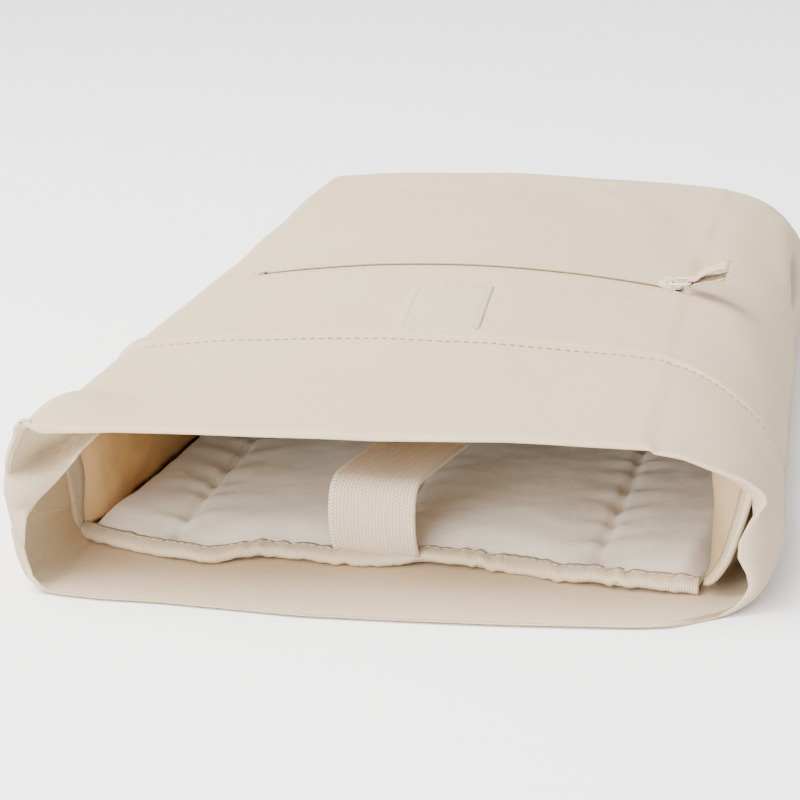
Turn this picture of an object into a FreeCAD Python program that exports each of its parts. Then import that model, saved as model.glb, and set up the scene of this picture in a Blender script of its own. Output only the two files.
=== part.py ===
"""Canvas laptop sleeve bag: a soft canvas box with an open mouth, a padded sleeve inside it, a webbing
retaining strap over the sleeve's mouth, and a zipped pocket in the front panel.

It lies on its back panel. X runs across the bag, Y from the mouth to the closed end, Z up from the floor to
the front panel. The origin is the centre of the footprint, on the floor. All lengths are in millimetres.
Depths called s are measured from the front lip of the mouth towards the closed end.
"""

import math
import os

import FreeCAD
import Part
from FreeCAD import Vector

# ---------------------------------------------------------------- driving dimensions
BAG_LENGTH = 450.0  # front lip of the mouth to the closed end
BACK_LIP = 18.0  # how far the back lip reaches beyond the front lip
MOUTH_HALF = 156.0  # half the width at the mouth
TAPER = 30.0  # how much narrower each side is at the closed end
CANVAS = 1.2  # one layer of canvas
HEM = 2 * CANVAS  # the mouth band is two layers
LINING = 0.6  # lining cloth
WEBBING = 1.6  # the strap's thickness
SLACK = 0.4  # clearance between pieces that move apart
LAID_GAP = 0.1  # gap under a cloth laid flat on another

CROWN_TOP = 77.5  # height of the front panel at its crown
CROWN_X = -32.5  # where across the bag the crown is
CROWN_RADIUS = 588.0  # radius of the crown across the bag, in the zip's plane
MOUTH_TOP = 70.5  # height of the front lip at its crown
MOUTH_CURVE = 0.00028  # the front lip's fall, per mm squared from the crown
END_TOP = 73.0  # height of the crown at the closed end
END_CURVE = 0.00053
CORNER = 8.0  # radius of the two bottom corners
LEFT_SHOULDER = 14.0  # width of the left top corner
RIGHT_SHOULDER = 50.0  # width of the right top corner, which slumps
LEFT_WALL_TOP = 50.0  # where the left top corner starts
RIGHT_WALL_TOP = 24.0  # where the right top corner starts
END_ROUND = 14.0  # rounding of the closed end

BAND = 120.0  # depth of the mouth band
LAP = 17.0  # how far the band laps over the front panel
FOLD_Z = 61.0  # height of the line about which the mouth's front band presses down

ZIP_S = 245.0  # depth of the zip
ZIP_LEFT = -112.0
ZIP_RIGHT = 94.0
GUSSET_ANGLE = 30.0  # how far round the right shoulder the front panel reaches
SLOT_HALF = 4.4  # half the width of the zip's slot
TAPE_HALF = 13.0  # half the width of the zip over both tapes
TAPE = 0.8
COIL_GAP = 0.7  # half the channel between the two coils
COIL_WIDTH = 2.0
COIL_HEIGHT = 1.6
ZIP_GAP = 0.2  # gap between the canvas and the tapes under it
SLIDER_X = 82.0  # the slider's place with the zip shut
SLIDER_LENGTH = 11.0
SLIDER_WIDTH = 7.8
SLIDER_CORNER = 2.4  # radius of the slider's plates in plan
PLATE = 1.2  # thickness of the slider's two plates
TOP_PLATE = 0.7  # underside of the top plate, above the canvas
LOWER_PLATE = 3.7  # underside of the lower plate, below the canvas
FLANGE = 0.8  # the slider's side flanges
FLANGE_HEIGHT = 1.4
POST_LENGTH = 3.0  # the post that parts the two coils
POST_THICK = 0.6
BAIL_THICK = 1.4  # the bail holds the pull ring
BAIL_LENGTH = 7.0
BAIL_HEIGHT = 3.2
BAIL_ROUND = 1.6
BAIL_INSIDE = 4.4
BAIL_INSIDE_HEIGHT = 2.0
WIRE = 1.3  # the pull ring's wire
PIVOT_HEIGHT = TOP_PLATE + PLATE + 1.0
PIVOT_X = 0.4  # the ring's pivot from the slider's middle
RING_LENGTH = 9.0
RING_WIDTH = 12.0
RING_CORNER = 1.8
RING_TILT = 12.0
EYE_WIDTH = 8.8
EYE_GAP = 0.25  # gap between the tab's eye and the ring's bar
TAB_WIDTH = 13.0
TAB_LENGTH = 22.0
TAB_THICK = 2.0
TAB_TILT = 16.0
TACK_WIDTH = 2.0  # the sewn bars at the zip's two ends
TACK_LENGTH = 6.0
TACK_HEIGHT = 0.8

POCKET_LEFT = -118.0
POCKET_RIGHT = 84.0
POCKET_END = 395.0
POCKET_GAP = 0.3  # gap between the front panel and the pocket's outer lining
POCKET_DROP = 3.2  # the same for its inner lining

PAD_BOTTOM = HEM
PAD_THICK = 8.2
PAD_EDGE_LEFT = 44.0  # depth of the pad's near edge at its left end
PAD_EDGE_RIGHT = 14.0
PAD_SIDE = 9.0  # how far the pad keeps from the bag's outer width
PAD_FLARE = 14.0  # how much more it keeps from the right side, at the mouth
BINDING = 1.0  # binding tape's thickness
BINDING_WIDTH = 12.0
SLEEVE_END = 434.0  # depth of the sleeve's closed end
DIVIDER_BOTTOM = 38.0
DIVIDER_THICK = 6.0
DIVIDER_EDGE = 112.0  # depth of the divider's near edge
WALL = 0.8  # the sleeve's side walls
WALL_EDGE_LEFT = 46.0
WALL_EDGE_RIGHT = 28.0
WALL_TOP_LEFT = 50.0
WALL_TOP_RIGHT = 41.0  # lower, under the slumped shoulder
DIVIDER_SIDE = 1.0  # gap between the divider and the left wall
DIVIDER_SLUMP = 5.0  # gap between the divider and the right wall

STRAP_WIDTH = 38.0
STRAP_X = -14.0  # where the strap is sewn to the pad
STRAP_S = 37.0
STRAP_TURN = -11.0  # the strap runs a little to the right
STRAP_FLAT = 37.0  # height of the strap's flat stretch
STRAP_BEND = 9.0  # radius of its bend
STRAP_JOINT = 95.0  # depth where its free end starts
STRAP_TIP = 172.0
PATCH = 0.8  # hook and loop patches
PATCH_INSET = 3.0  # how far the patches keep in from the strap's edges
HOOK_LENGTH = 42.0
LOOP_LENGTH = 54.0

LABEL_WIDTH = 40.0
LABEL_X = -14.0
LABEL_END = 204.0
LABEL_THICK = 0.6

CENTRE_S = (BAG_LENGTH - BACK_LIP) / 2  # the depth that becomes y = 0


# ---------------------------------------------------------------- the bag's shape
def crown(s):
    """Height of the crown and its fall per mm squared, at depth s."""
    curve = 1 / (2 * CROWN_RADIUS)
    if s < ZIP_S:
        far = ((s - ZIP_S) / ZIP_S) ** 2
        return CROWN_TOP + (MOUTH_TOP - CROWN_TOP) * far, curve + (MOUTH_CURVE - curve) * far
    far = ((s - ZIP_S) / (BAG_LENGTH - ZIP_S)) ** 2
    return CROWN_TOP + (END_TOP - CROWN_TOP) * far, curve + (END_CURVE - curve) * far


def end_inset(s):
    """How far the skin is drawn in near the closed end, which is rounded."""
    over = s - (BAG_LENGTH - END_ROUND)
    if over <= 0:
        return 0.0
    return END_ROUND - math.sqrt(max(END_ROUND**2 - over**2, 0.0))


def half_width(s):
    return MOUTH_HALF - TAPER * max(s, 0.0) / BAG_LENGTH - end_inset(s)


def top(x, s):
    """Height of the bag's upper skin, before its shoulders."""
    height, curve = crown(s)
    return height - end_inset(s) - curve * (x - CROWN_X) ** 2


def skin(x, s):
    """Height of the bag's upper skin, with the start of the right shoulder's fall."""
    past = x - (half_width(s) - RIGHT_SHOULDER)
    if past <= 0:
        return top(x, s)
    fall = top(half_width(s), s) - RIGHT_WALL_TOP
    return top(x, s) - fall * (1 - math.sqrt(1 - (past / RIGHT_SHOULDER) ** 2))


def shoulder(side, s, depth, angle):
    """A point on the left (-1) or right (+1) top corner. Angle 0 is at the top, 90 at the wall."""
    width = RIGHT_SHOULDER if side > 0 else LEFT_SHOULDER
    foot = RIGHT_WALL_TOP if side > 0 else LEFT_WALL_TOP
    edge = half_width(s)
    fall = top(side * edge, s) - foot
    a = math.radians(angle)
    x = side * (edge - width + (width - depth) * math.sin(a))
    z = top(x, s) - depth - (fall - depth) * (1 - math.cos(a))
    return x, z


def bottom_corner(side, s, depth, angle):
    """A point on a bottom corner. Angle 0 is on the back panel, 90 on the wall."""
    a = math.radians(angle)
    centre = half_width(s) - CORNER
    radius = CORNER - depth
    return side * (centre + radius * math.sin(a)), end_inset(s) + CORNER - radius * math.cos(a)


def front_line(s, depth, margin=0.0):
    left = -(half_width(s) - LEFT_SHOULDER) + margin
    right = half_width(s) - RIGHT_SHOULDER - margin
    count = 9
    xs = [left + (right - left) * i / (count - 1) for i in range(count)]
    return [(x, top(x, s) - depth) for x in xs]


def panel_line(s, depth):
    """The front panel's line also goes some way round the right shoulder."""
    turned = [shoulder(1, s, depth, GUSSET_ANGLE * i / 3) for i in (1, 2, 3)]
    return front_line(s, depth) + turned


def side_line(side, s, depth, start=0.0):
    low = [bottom_corner(side, s, depth, a) for a in (0, 30, 60, 90)]
    foot = RIGHT_WALL_TOP if side > 0 else LEFT_WALL_TOP
    middle = [(side * (half_width(s) - depth), (low[-1][1] + foot) / 2)]
    high = [shoulder(side, s, depth, a) for a in (90, 70, 50, 30, 15, 0) if a >= start]
    return low + middle + high


# ---------------------------------------------------------------- building blocks
def at(x, s, z):
    return Vector(x, s - CENTRE_S, z)


def curve_through(points):
    spline = Part.BSplineCurve()
    spline.interpolate(points)
    return spline.toShape()


def ring(outer, inner, s):
    """A thin closed wire at depth s between an outer and an inner line of (x, z) points."""
    a = [at(x, s, z) for x, z in outer]
    b = [at(x, s, z) for x, z in reversed(inner)]
    edges = [curve_through(a), Part.makeLine(a[-1], b[0]), curve_through(b), Part.makeLine(b[-1], a[0])]
    return Part.Wire(edges)


def sheet(line, depths, thick, offset=0.0, **more):
    """A curved sheet: line(s, depth) gives its (x, z) points, offset is how deep its outer face is."""
    wires = [ring(line(s, offset, **more), line(s, offset + thick, **more), s) for s in depths]
    return Part.makeLoft(wires, True, True)


def box(x0, x1, s0, s1, z0, z1):
    return Part.makeBox(x1 - x0, s1 - s0, z1 - z0, at(x0, s0, z0))


def slab(points, z0, z1):
    """A flat slab over a plan given as (x, s) points."""
    corners = [at(x, s, z0) for x, s in points]
    face = Part.Face(Part.makePolygon(corners + corners[:1]))
    return face.extrude(Vector(0, 0, z1 - z0))


def save(name, shape):
    solid = shape if shape.ShapeType in ("Solid", "Compound") else Part.Solid(shape)
    if not solid.isValid():
        print("not valid:", name)
    solid.exportStep(f"parts/{name}.step")
    print(f"{name:24s} solids {len(solid.Solids)} volume {solid.Volume / 1000:9.2f} cm3")


def show_point(name, vertex):
    """Prints the place of a joint's axis."""
    print(f"{name:24s}", [round(v, 2) for v in vertex.Point])


# ---------------------------------------------------------------- canvas
def band_depths():
    return [0.0, 30.0, 60.0, 90.0, BAND]


def panel_depths():
    early = [BAND + SLACK, 160.0, 200.0, ZIP_S, 290.0, 340.0, 390.0]
    late = [BAG_LENGTH - END_ROUND, BAG_LENGTH - 8.0, BAG_LENGTH - 4.0, BAG_LENGTH - CANVAS]
    return early + late


def flat_line(s, depth):
    edge = half_width(s) - CORNER
    height = end_inset(s) + depth
    return [(-edge, height), (0.0, height), (edge, height)]


def build_canvas():
    slot = box(ZIP_LEFT, ZIP_RIGHT, ZIP_S - SLOT_HALF, ZIP_S + SLOT_HALF, 50.0, 90.0)
    save("front_panel", sheet(panel_line, panel_depths(), CANVAS).cut(slot))
    save("back_panel", build_back())
    for name, side, start in (("left", -1, 0.0), ("right", 1, GUSSET_ANGLE)):
        panel = lambda s, depth, side=side, start=start: side_line(side, s, depth, start)
        band = lambda s, depth, side=side: side_line(side, s, depth)
        save(f"{name}_gusset", sheet(panel, panel_depths(), CANVAS))
        save(f"mouth_band_{name}", sheet(band, band_depths(), HEM))
    moving = [*band_depths()[:-1], BAND - SLACK]
    save("mouth_band_front", sheet(front_line, moving, HEM, margin=2 * SLACK))
    save("mouth_band_back", build_back_band())
    lap = [BAND + SLACK, BAND + LAP / 2, BAND + LAP]
    save("front_seam_lap", sheet(front_line, lap, CANVAS, offset=-CANVAS - LAID_GAP, margin=SLACK))
    save("base_panel", build_base())
    show_point("mouth fold", Part.Vertex(at(0.0, BAND, FOLD_Z)))


def build_back():
    """The back panel is flat, and turns up at the closed end."""
    near, far = BAND + SLACK, BAG_LENGTH - END_ROUND
    near_edge, far_edge = half_width(near) - CORNER, half_width(far) - CORNER
    flat = slab([(-near_edge, near), (near_edge, near), (far_edge, far), (-far_edge, far)], 0.0, CANVAS)
    turned = sheet(flat_line, [s for s in panel_depths() if s >= far], CANVAS)
    return flat.fuse(turned)


def build_back_band():
    """The back lip reaches further out than the front one, with rounded corners."""
    edge = half_width(0.0) - CORNER
    radius = BACK_LIP
    main = [(-edge, 0.0), (-edge + radius, -BACK_LIP), (edge - radius, -BACK_LIP), (edge, 0.0)]
    far = half_width(BAND) - CORNER
    return slab([*main, (far, BAND), (-far, BAND)], 0.0, HEM)


def base_outline(depth):
    s = BAG_LENGTH - CANVAS
    left = side_line(-1, s, depth)
    upper = front_line(s, depth)
    right = side_line(1, s, depth)
    return [at(x, s, z) for x, z in left + upper[1:] + right[::-1][1:]]


def build_base():
    points = base_outline(0.0)
    face = Part.Face(Part.makePolygon(points + points[:1]))
    return face.extrude(Vector(0, CANVAS, 0))


# ---------------------------------------------------------------- the zipped pocket
def zip_line(s, depth, margin=0.0):
    count = 9
    left, right = ZIP_LEFT - margin, ZIP_RIGHT + margin
    xs = [left + (right - left) * i / (count - 1) for i in range(count)]
    return [(x, skin(x, ZIP_S) - depth) for x in xs]


def build_zip():
    """Tapes lie under the slot's edges, with a coil along each; the pocket bag hangs below them."""
    under = CANVAS + ZIP_GAP
    for name, side in (("near", -1), ("far", 1)):
        inner, outer = ZIP_S + side * COIL_GAP, ZIP_S + side * TAPE_HALF
        depths = sorted((inner, outer))
        save(f"zip_tape_{name}", sheet(zip_line, depths, TAPE, offset=under, margin=TACK_LENGTH))
        depths = sorted((inner, inner + side * COIL_WIDTH))
        save(f"zip_coil_{name}", sheet(zip_line, depths, COIL_HEIGHT, offset=under - LAID_GAP - COIL_HEIGHT))
    tacks = []
    half, reach = TACK_WIDTH / 2, TACK_LENGTH / 2
    for x in (ZIP_LEFT + half, ZIP_RIGHT - half):
        low = skin(x, ZIP_S) - under + COIL_HEIGHT + 2 * ZIP_GAP
        tacks.append(box(x - half, x + half, ZIP_S - reach, ZIP_S + reach, low, low + TACK_HEIGHT))
    save("zip_end_tacks", Part.makeCompound(tacks))


def pocket_line(s, depth):
    count = 8
    xs = [POCKET_LEFT + (POCKET_RIGHT - POCKET_LEFT) * i / (count - 1) for i in range(count)]
    return [(x, skin(x, s) - depth) for x in xs]


def build_pocket():
    far = [s for s in panel_depths() if ZIP_S < s < POCKET_END] + [POCKET_END]
    pieces = (("outer", ZIP_S + TAPE_HALF + SLACK, POCKET_GAP), ("inner", ZIP_S - TAPE_HALF, POCKET_DROP))
    for name, near, drop in pieces:
        save(f"pocket_bag_{name}", sheet(pocket_line, [near, *far], LINING, offset=CANVAS + drop))


def on_crown(shape, x):
    """Swings a shape built over the crown's top round the crown's centre, to stand at x."""
    swing = math.degrees(math.asin((x - CROWN_X) / CROWN_RADIUS))
    shape.rotate(at(CROWN_X, ZIP_S, CROWN_TOP - CROWN_RADIUS), Vector(0, 1, 0), swing)
    return shape


def rounded_box(length, width, height, radius, corner):
    """A box with its four upright edges rounded. corner is its lowest corner."""
    solid = Part.makeBox(length, width, height, corner)
    upright = [e for e in solid.Edges if abs(e.Vertexes[0].Z - e.Vertexes[1].Z) > height / 2]
    return solid.makeFillet(radius, upright)


def build_slider():
    """Two plates joined by a post, with flanges over the coils' edges and a bail on top."""
    base, long, half = CROWN_TOP, SLIDER_LENGTH, SLIDER_WIDTH / 2
    x0, y0 = CROWN_X - long / 2, ZIP_S - CENTRE_S
    plate = lambda z: rounded_box(long, SLIDER_WIDTH, PLATE, SLIDER_CORNER, Vector(x0, y0 - half, z))
    solid = plate(base + TOP_PLATE).fuse(plate(base - LOWER_PLATE))
    straight = long - 2 * SLIDER_CORNER
    for y in (y0 - half, y0 + half - FLANGE):
        low = Vector(x0 + SLIDER_CORNER, y, base + TOP_PLATE - FLANGE_HEIGHT)
        solid = solid.fuse(Part.makeBox(straight, FLANGE, FLANGE_HEIGHT, low))
    low = Vector(x0 + 1.0, y0 - POST_THICK / 2, base - LOWER_PLATE)
    solid = solid.fuse(Part.makeBox(POST_LENGTH, POST_THICK, TOP_PLATE + LOWER_PLATE, low))
    middle, floor = x0 + long / 2, base + TOP_PLATE + PLATE
    low = Vector(middle - BAIL_LENGTH / 2, y0 - BAIL_THICK / 2, floor - 0.1)
    outside = Part.makeBox(BAIL_LENGTH, BAIL_THICK, BAIL_HEIGHT, low)
    across = [e for e in outside.Edges if abs(e.Vertexes[0].Y - e.Vertexes[1].Y) > BAIL_THICK / 2]
    rounds = [e for e in across if e.Vertexes[0].Z > floor + BAIL_HEIGHT / 2]
    outside = outside.makeFillet(BAIL_ROUND, rounds)
    low = Vector(middle - BAIL_INSIDE / 2, y0 - BAIL_THICK, floor)
    inside = Part.makeBox(BAIL_INSIDE, 2 * BAIL_THICK, BAIL_INSIDE_HEIGHT, low)
    return solid.fuse(outside.cut(inside)).removeSplitter()


def tube_round(path, radius):
    """A round bar along a closed or open wire."""
    first = path.Edges[0]
    start = first.valueAt(first.FirstParameter)
    along = first.tangentAt(first.FirstParameter)
    circle = Part.Wire(Part.makeCircle(radius, start, along))
    return path.makePipeShell([circle], True, True)


def build_ring():
    """The pull ring lies in a level plane through its pivot, before it is tilted."""
    px, pz = CROWN_X + PIVOT_X, CROWN_TOP + PIVOT_HEIGHT
    half, long = RING_WIDTH / 2 - WIRE / 2, RING_LENGTH
    y0 = ZIP_S - CENTRE_S
    corner = RING_CORNER
    p = lambda x, y: Vector(px + x, y0 + y, pz)
    turned = lambda a: (corner * math.cos(math.radians(a)), corner * math.sin(math.radians(a)))
    bend = lambda cx, cy, a: p(cx + turned(a)[0], cy + turned(a)[1])
    arcs = []
    places = [(long - corner, -half + corner, -90), (long - corner, half - corner, 0)]
    places += [(corner, half - corner, 90), (corner, -half + corner, 180)]
    for cx, cy, a in places:
        arcs.append(Part.Arc(bend(cx, cy, a), bend(cx, cy, a + 45), bend(cx, cy, a + 90)).toShape())
    edges = []
    for i, arc in enumerate(arcs):
        edges.append(arc)
        after = arcs[(i + 1) % len(arcs)]
        edges.append(Part.makeLine(arc.Vertexes[-1].Point, after.Vertexes[0].Point))
    return tube_round(Part.Wire(edges), WIRE / 2)


def build_tab():
    """A folded canvas tab round the ring's far bar: an eye, and a wider tongue of two sewn layers."""
    bar_x, z = CROWN_X + PIVOT_X + RING_LENGTH, CROWN_TOP + PIVOT_HEIGHT
    y = ZIP_S - CENTRE_S
    inner, outer = WIRE / 2 + EYE_GAP, WIRE / 2 + EYE_GAP + TAB_THICK / 2
    eye = Part.makeCylinder(outer, EYE_WIDTH, Vector(bar_x, y - EYE_WIDTH / 2, z), Vector(0, 1, 0))
    hole = Part.makeCylinder(inner, EYE_WIDTH + 2, Vector(bar_x, y - EYE_WIDTH / 2 - 1, z), Vector(0, 1, 0))
    low = z - TAB_THICK / 2
    neck = Part.makeBox(3.0, EYE_WIDTH, TAB_THICK, Vector(bar_x + inner, y - EYE_WIDTH / 2, low))
    start = bar_x + outer + 0.3
    tongue = Part.makeBox(TAB_LENGTH - outer, TAB_WIDTH, TAB_THICK, Vector(start, y - TAB_WIDTH / 2, low))
    return eye.fuse([neck, tongue]).cut(hole).removeSplitter()


def pull_pose(shape, tilt, pivot_x):
    """Tilts a piece of the pull up about its pivot, a line across the zip."""
    pivot = Vector(CROWN_X + PIVOT_X + pivot_x, ZIP_S - CENTRE_S, CROWN_TOP + PIVOT_HEIGHT)
    shape.rotate(pivot, Vector(0, -1, 0), tilt)
    return shape


def build_pull():
    save("zip_slider", on_crown(build_slider(), SLIDER_X))
    ring_solid = pull_pose(build_ring(), RING_TILT, 0.0)
    save("zip_pull_ring", on_crown(ring_solid, SLIDER_X))
    tab = pull_pose(build_tab(), TAB_TILT, RING_LENGTH)
    tab = pull_pose(tab, RING_TILT, 0.0)
    save("zip_pull_tab", on_crown(tab, SLIDER_X))
    show_point("zip's centre", Part.Vertex(at(CROWN_X, ZIP_S, CROWN_TOP - CROWN_RADIUS)))
    for name, point in (("ring pivot", 0.0), ("tab pivot", RING_LENGTH)):
        mark = Part.Vertex(CROWN_X + PIVOT_X + point, ZIP_S - CENTRE_S, CROWN_TOP + PIVOT_HEIGHT)
        show_point(name, on_crown(pull_pose(mark, RING_TILT, 0.0), SLIDER_X))


# ---------------------------------------------------------------- the padded sleeve
def sleeve_left(s):
    return -(half_width(s) - PAD_SIDE)


def sleeve_right(s):
    """The sleeve is straighter than the bag, so on the right it leaves the bag's flare."""
    return half_width(s) - PAD_SIDE - PAD_FLARE * (1 - s / SLEEVE_END)


def pad_edge(x):
    """Depth of the pad's near edge, which runs slantwise across the bag."""
    share = (x + MOUTH_HALF) / (2 * MOUTH_HALF)
    return PAD_EDGE_LEFT + (PAD_EDGE_RIGHT - PAD_EDGE_LEFT) * share


def pad_plan(near):
    """The pad's plan, with its near edge a distance in from the bound edge."""
    left, right = sleeve_left(PAD_EDGE_LEFT), sleeve_right(PAD_EDGE_RIGHT)
    near_line = [(left, pad_edge(left) + near), (right, pad_edge(right) + near)]
    return [*near_line, (sleeve_right(SLEEVE_END), SLEEVE_END), (sleeve_left(SLEEVE_END), SLEEVE_END)]


def strip_plan(near, far):
    """A strip along the pad's near edge, between two distances in from it."""
    ends = (sleeve_left(PAD_EDGE_LEFT), sleeve_right(PAD_EDGE_RIGHT))
    return [(x, pad_edge(x) + near) for x in ends] + [(x, pad_edge(x) + far) for x in reversed(ends)]


def layered(name, plan, bottom, thick):
    """Foam between two linings; plan(near) gives the plan with its near edge drawn back."""
    up = bottom + thick
    save(f"{name}_lining_lower", slab(plan(BINDING_WIDTH), bottom, bottom + LINING))
    save(f"{name}_lining_upper", slab(plan(BINDING_WIDTH), up - LINING, up))
    body = slab(plan(BINDING_WIDTH), bottom + LINING, up - LINING)
    tongue = slab(plan(BINDING), bottom + BINDING, up - BINDING)
    save(f"{name}_foam", body.fuse(tongue).removeSplitter())


def build_pad():
    layered("pad", pad_plan, PAD_BOTTOM, PAD_THICK)
    low, high = PAD_BOTTOM, PAD_BOTTOM + PAD_THICK
    outside = slab(strip_plan(0.0, BINDING_WIDTH), low, high)
    inside = slab(strip_plan(BINDING, BINDING_WIDTH + 1), low + BINDING, high - BINDING)
    save("pad_binding", outside.cut(inside))


def divider_ends(s):
    return sleeve_left(s) + DIVIDER_SIDE, sleeve_right(s) - DIVIDER_SLUMP


def divider_plan(near):
    left, right = divider_ends(DIVIDER_EDGE)
    far_left, far_right = divider_ends(SLEEVE_END)
    near_line = [(left, DIVIDER_EDGE + near), (right, DIVIDER_EDGE + near)]
    return [*near_line, (far_right, SLEEVE_END), (far_left, SLEEVE_END)]


def build_divider():
    layered("divider", divider_plan, DIVIDER_BOTTOM, DIVIDER_THICK)
    left, right = divider_ends(DIVIDER_EDGE + BINDING_WIDTH)
    up = DIVIDER_BOTTOM + DIVIDER_THICK
    outside = box(left, right, DIVIDER_EDGE, DIVIDER_EDGE + BINDING_WIDTH, DIVIDER_BOTTOM, up)
    near, far = DIVIDER_EDGE + BINDING, DIVIDER_EDGE + BINDING_WIDTH + 1
    inside = box(left - 1, right + 1, near, far, DIVIDER_BOTTOM + BINDING, up - BINDING)
    save("divider_binding", outside.cut(inside))


def build_wall(side, place, near, high):
    """A side wall stands on the pad's edge, and its near edge is bound. place(s) is its inner face."""
    low = PAD_BOTTOM + PAD_THICK
    face = lambda s, out: place(s) + side * out
    plan = [(face(near, 0.0), near), (face(SLEEVE_END, 0.0), SLEEVE_END)]
    plan += [(face(SLEEVE_END, WALL), SLEEVE_END), (face(near, WALL), near)]
    lip, back = near - BINDING, near + BINDING_WIDTH
    strip_outline = [(face(lip, -BINDING), lip), (face(back, -BINDING), back)]
    strip_outline += [(face(back, WALL + BINDING), back), (face(lip, WALL + BINDING), lip)]
    hollow = [(face(near, 0.0), near), (face(back + 1, 0.0), back + 1)]
    hollow += [(face(back + 1, WALL), back + 1), (face(near, WALL), near)]
    bound = slab(strip_outline, low + SLACK, high + BINDING).cut(slab(hollow, low, high))
    return slab(plan, low, high), bound


def build_walls():
    walls = (("left", -1, sleeve_left, WALL_EDGE_LEFT, WALL_TOP_LEFT),)
    walls += (("right", 1, sleeve_right, WALL_EDGE_RIGHT, WALL_TOP_RIGHT),)
    for name, side, place, near, high in walls:
        wall, bound = build_wall(side, place, near, high)
        save(f"sleeve_wall_{name}", wall)
        save(f"wall_binding_{name}", bound)
    left, right = sleeve_left(SLEEVE_END), sleeve_right(SLEEVE_END)
    save("sleeve_wall_end", box(left, right, SLEEVE_END, SLEEVE_END + WALL, PAD_BOTTOM, WALL_TOP_RIGHT))


# ---------------------------------------------------------------- the strap
def strap_frame(shape):
    shape.rotate(at(STRAP_X, STRAP_S, 0.0), Vector(0, 0, 1), STRAP_TURN)
    return shape


def arc_points(cs, cz, radius, start, stop, count=8):
    step = (stop - start) / count
    turns = [math.radians(start + step * i) for i in range(count + 1)]
    return [(cs + radius * math.cos(a), cz + radius * math.sin(a)) for a in turns]


def thick_line(points, thick):
    """A closed (s, z) outline: the points, and the same line moved to its left by thick."""
    moved = []
    for i, (s, z) in enumerate(points):
        before, after = points[max(i - 1, 0)], points[min(i + 1, len(points) - 1)]
        ds, dz = after[0] - before[0], after[1] - before[1]
        size = math.hypot(ds, dz)
        moved.append((s - dz / size * thick, z + ds / size * thick))
    return points + moved[::-1]


def strip(points, x0, x1, thick):
    outline = [at(x0, s, z) for s, z in thick_line(points, thick)]
    return Part.Face(Part.makePolygon(outline + outline[:1])).extrude(Vector(x1 - x0, 0, 0))


def build_strap():
    """Sewn under the pad's binding, it rises, bends over the laptop's edge and runs back to the divider."""
    x0, x1 = STRAP_X - STRAP_WIDTH / 2, STRAP_X + STRAP_WIDTH / 2
    low = PAD_BOTTOM + PAD_THICK
    root = low + WEBBING + 0.05
    rise = [(STRAP_S + 8.0, root), (STRAP_S + 3.0, root)]
    rise += arc_points(STRAP_S + 3.0, root + 3.0, 3.0, -110, -180, 4)
    bend = arc_points(STRAP_S + STRAP_BEND, STRAP_FLAT - STRAP_BEND, STRAP_BEND, 180, 90)
    flat = [(STRAP_JOINT - SLACK, STRAP_FLAT)]
    save("strap", strap_frame(strip(rise + bend + flat, x0, x1, WEBBING)))
    up = DIVIDER_BOTTOM + DIVIDER_THICK
    seat = up + 2 * PATCH + 0.3
    free = [(STRAP_JOINT, STRAP_FLAT), (STRAP_JOINT + 3.0, STRAP_FLAT + 0.6)]
    free += [(DIVIDER_EDGE - 7.0, seat - 0.8), (DIVIDER_EDGE - 2.0, seat), (STRAP_TIP, seat)]
    save("strap_free_end", strap_frame(strip(free, x0, x1, WEBBING)))
    x0, x1, near = x0 + PATCH_INSET, x1 - PATCH_INSET, STRAP_TIP - PATCH_INSET - HOOK_LENGTH
    save("strap_hook_patch", strap_frame(box(x0, x1, near, near + HOOK_LENGTH, seat - PATCH, seat)))
    save("divider_loop_patch", strap_frame(box(x0, x1, near, near + LOOP_LENGTH, up, up + PATCH)))
    show_point("strap fold", strap_frame(Part.Vertex(at(STRAP_X, STRAP_JOINT, STRAP_FLAT + WEBBING + 0.2))))


def build_label():
    x0, x1 = LABEL_X - LABEL_WIDTH / 2, LABEL_X + LABEL_WIDTH / 2
    count = 5
    xs = [x0 + (x1 - x0) * i / (count - 1) for i in range(count)]
    line = lambda s, depth: [(x, top(x, s) - depth) for x in xs]
    near = BAND + LAP + SLACK
    depths = [near, *(s for s in panel_depths() if near < s < LABEL_END), LABEL_END]
    save("label_patch", sheet(line, depths, LABEL_THICK, offset=-LABEL_THICK - LAID_GAP))


def main():
    os.makedirs("parts", exist_ok=True)
    build_canvas()
    build_zip()
    build_pocket()
    build_pull()
    build_pad()
    build_divider()
    build_walls()
    build_strap()
    build_label()


main()
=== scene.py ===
"""Looks of a canvas laptop sleeve bag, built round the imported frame.

The bag lies on its back: X across it, Y from the mouth to the closed end, Z up. Shapes are worked out in
millimetres, with depths (called s) measured from the front lip of the mouth, and become metres in mesh().
"""

import math

import bmesh
import bpy
import numpy as np
from mathutils import Matrix, Vector, noise


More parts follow.
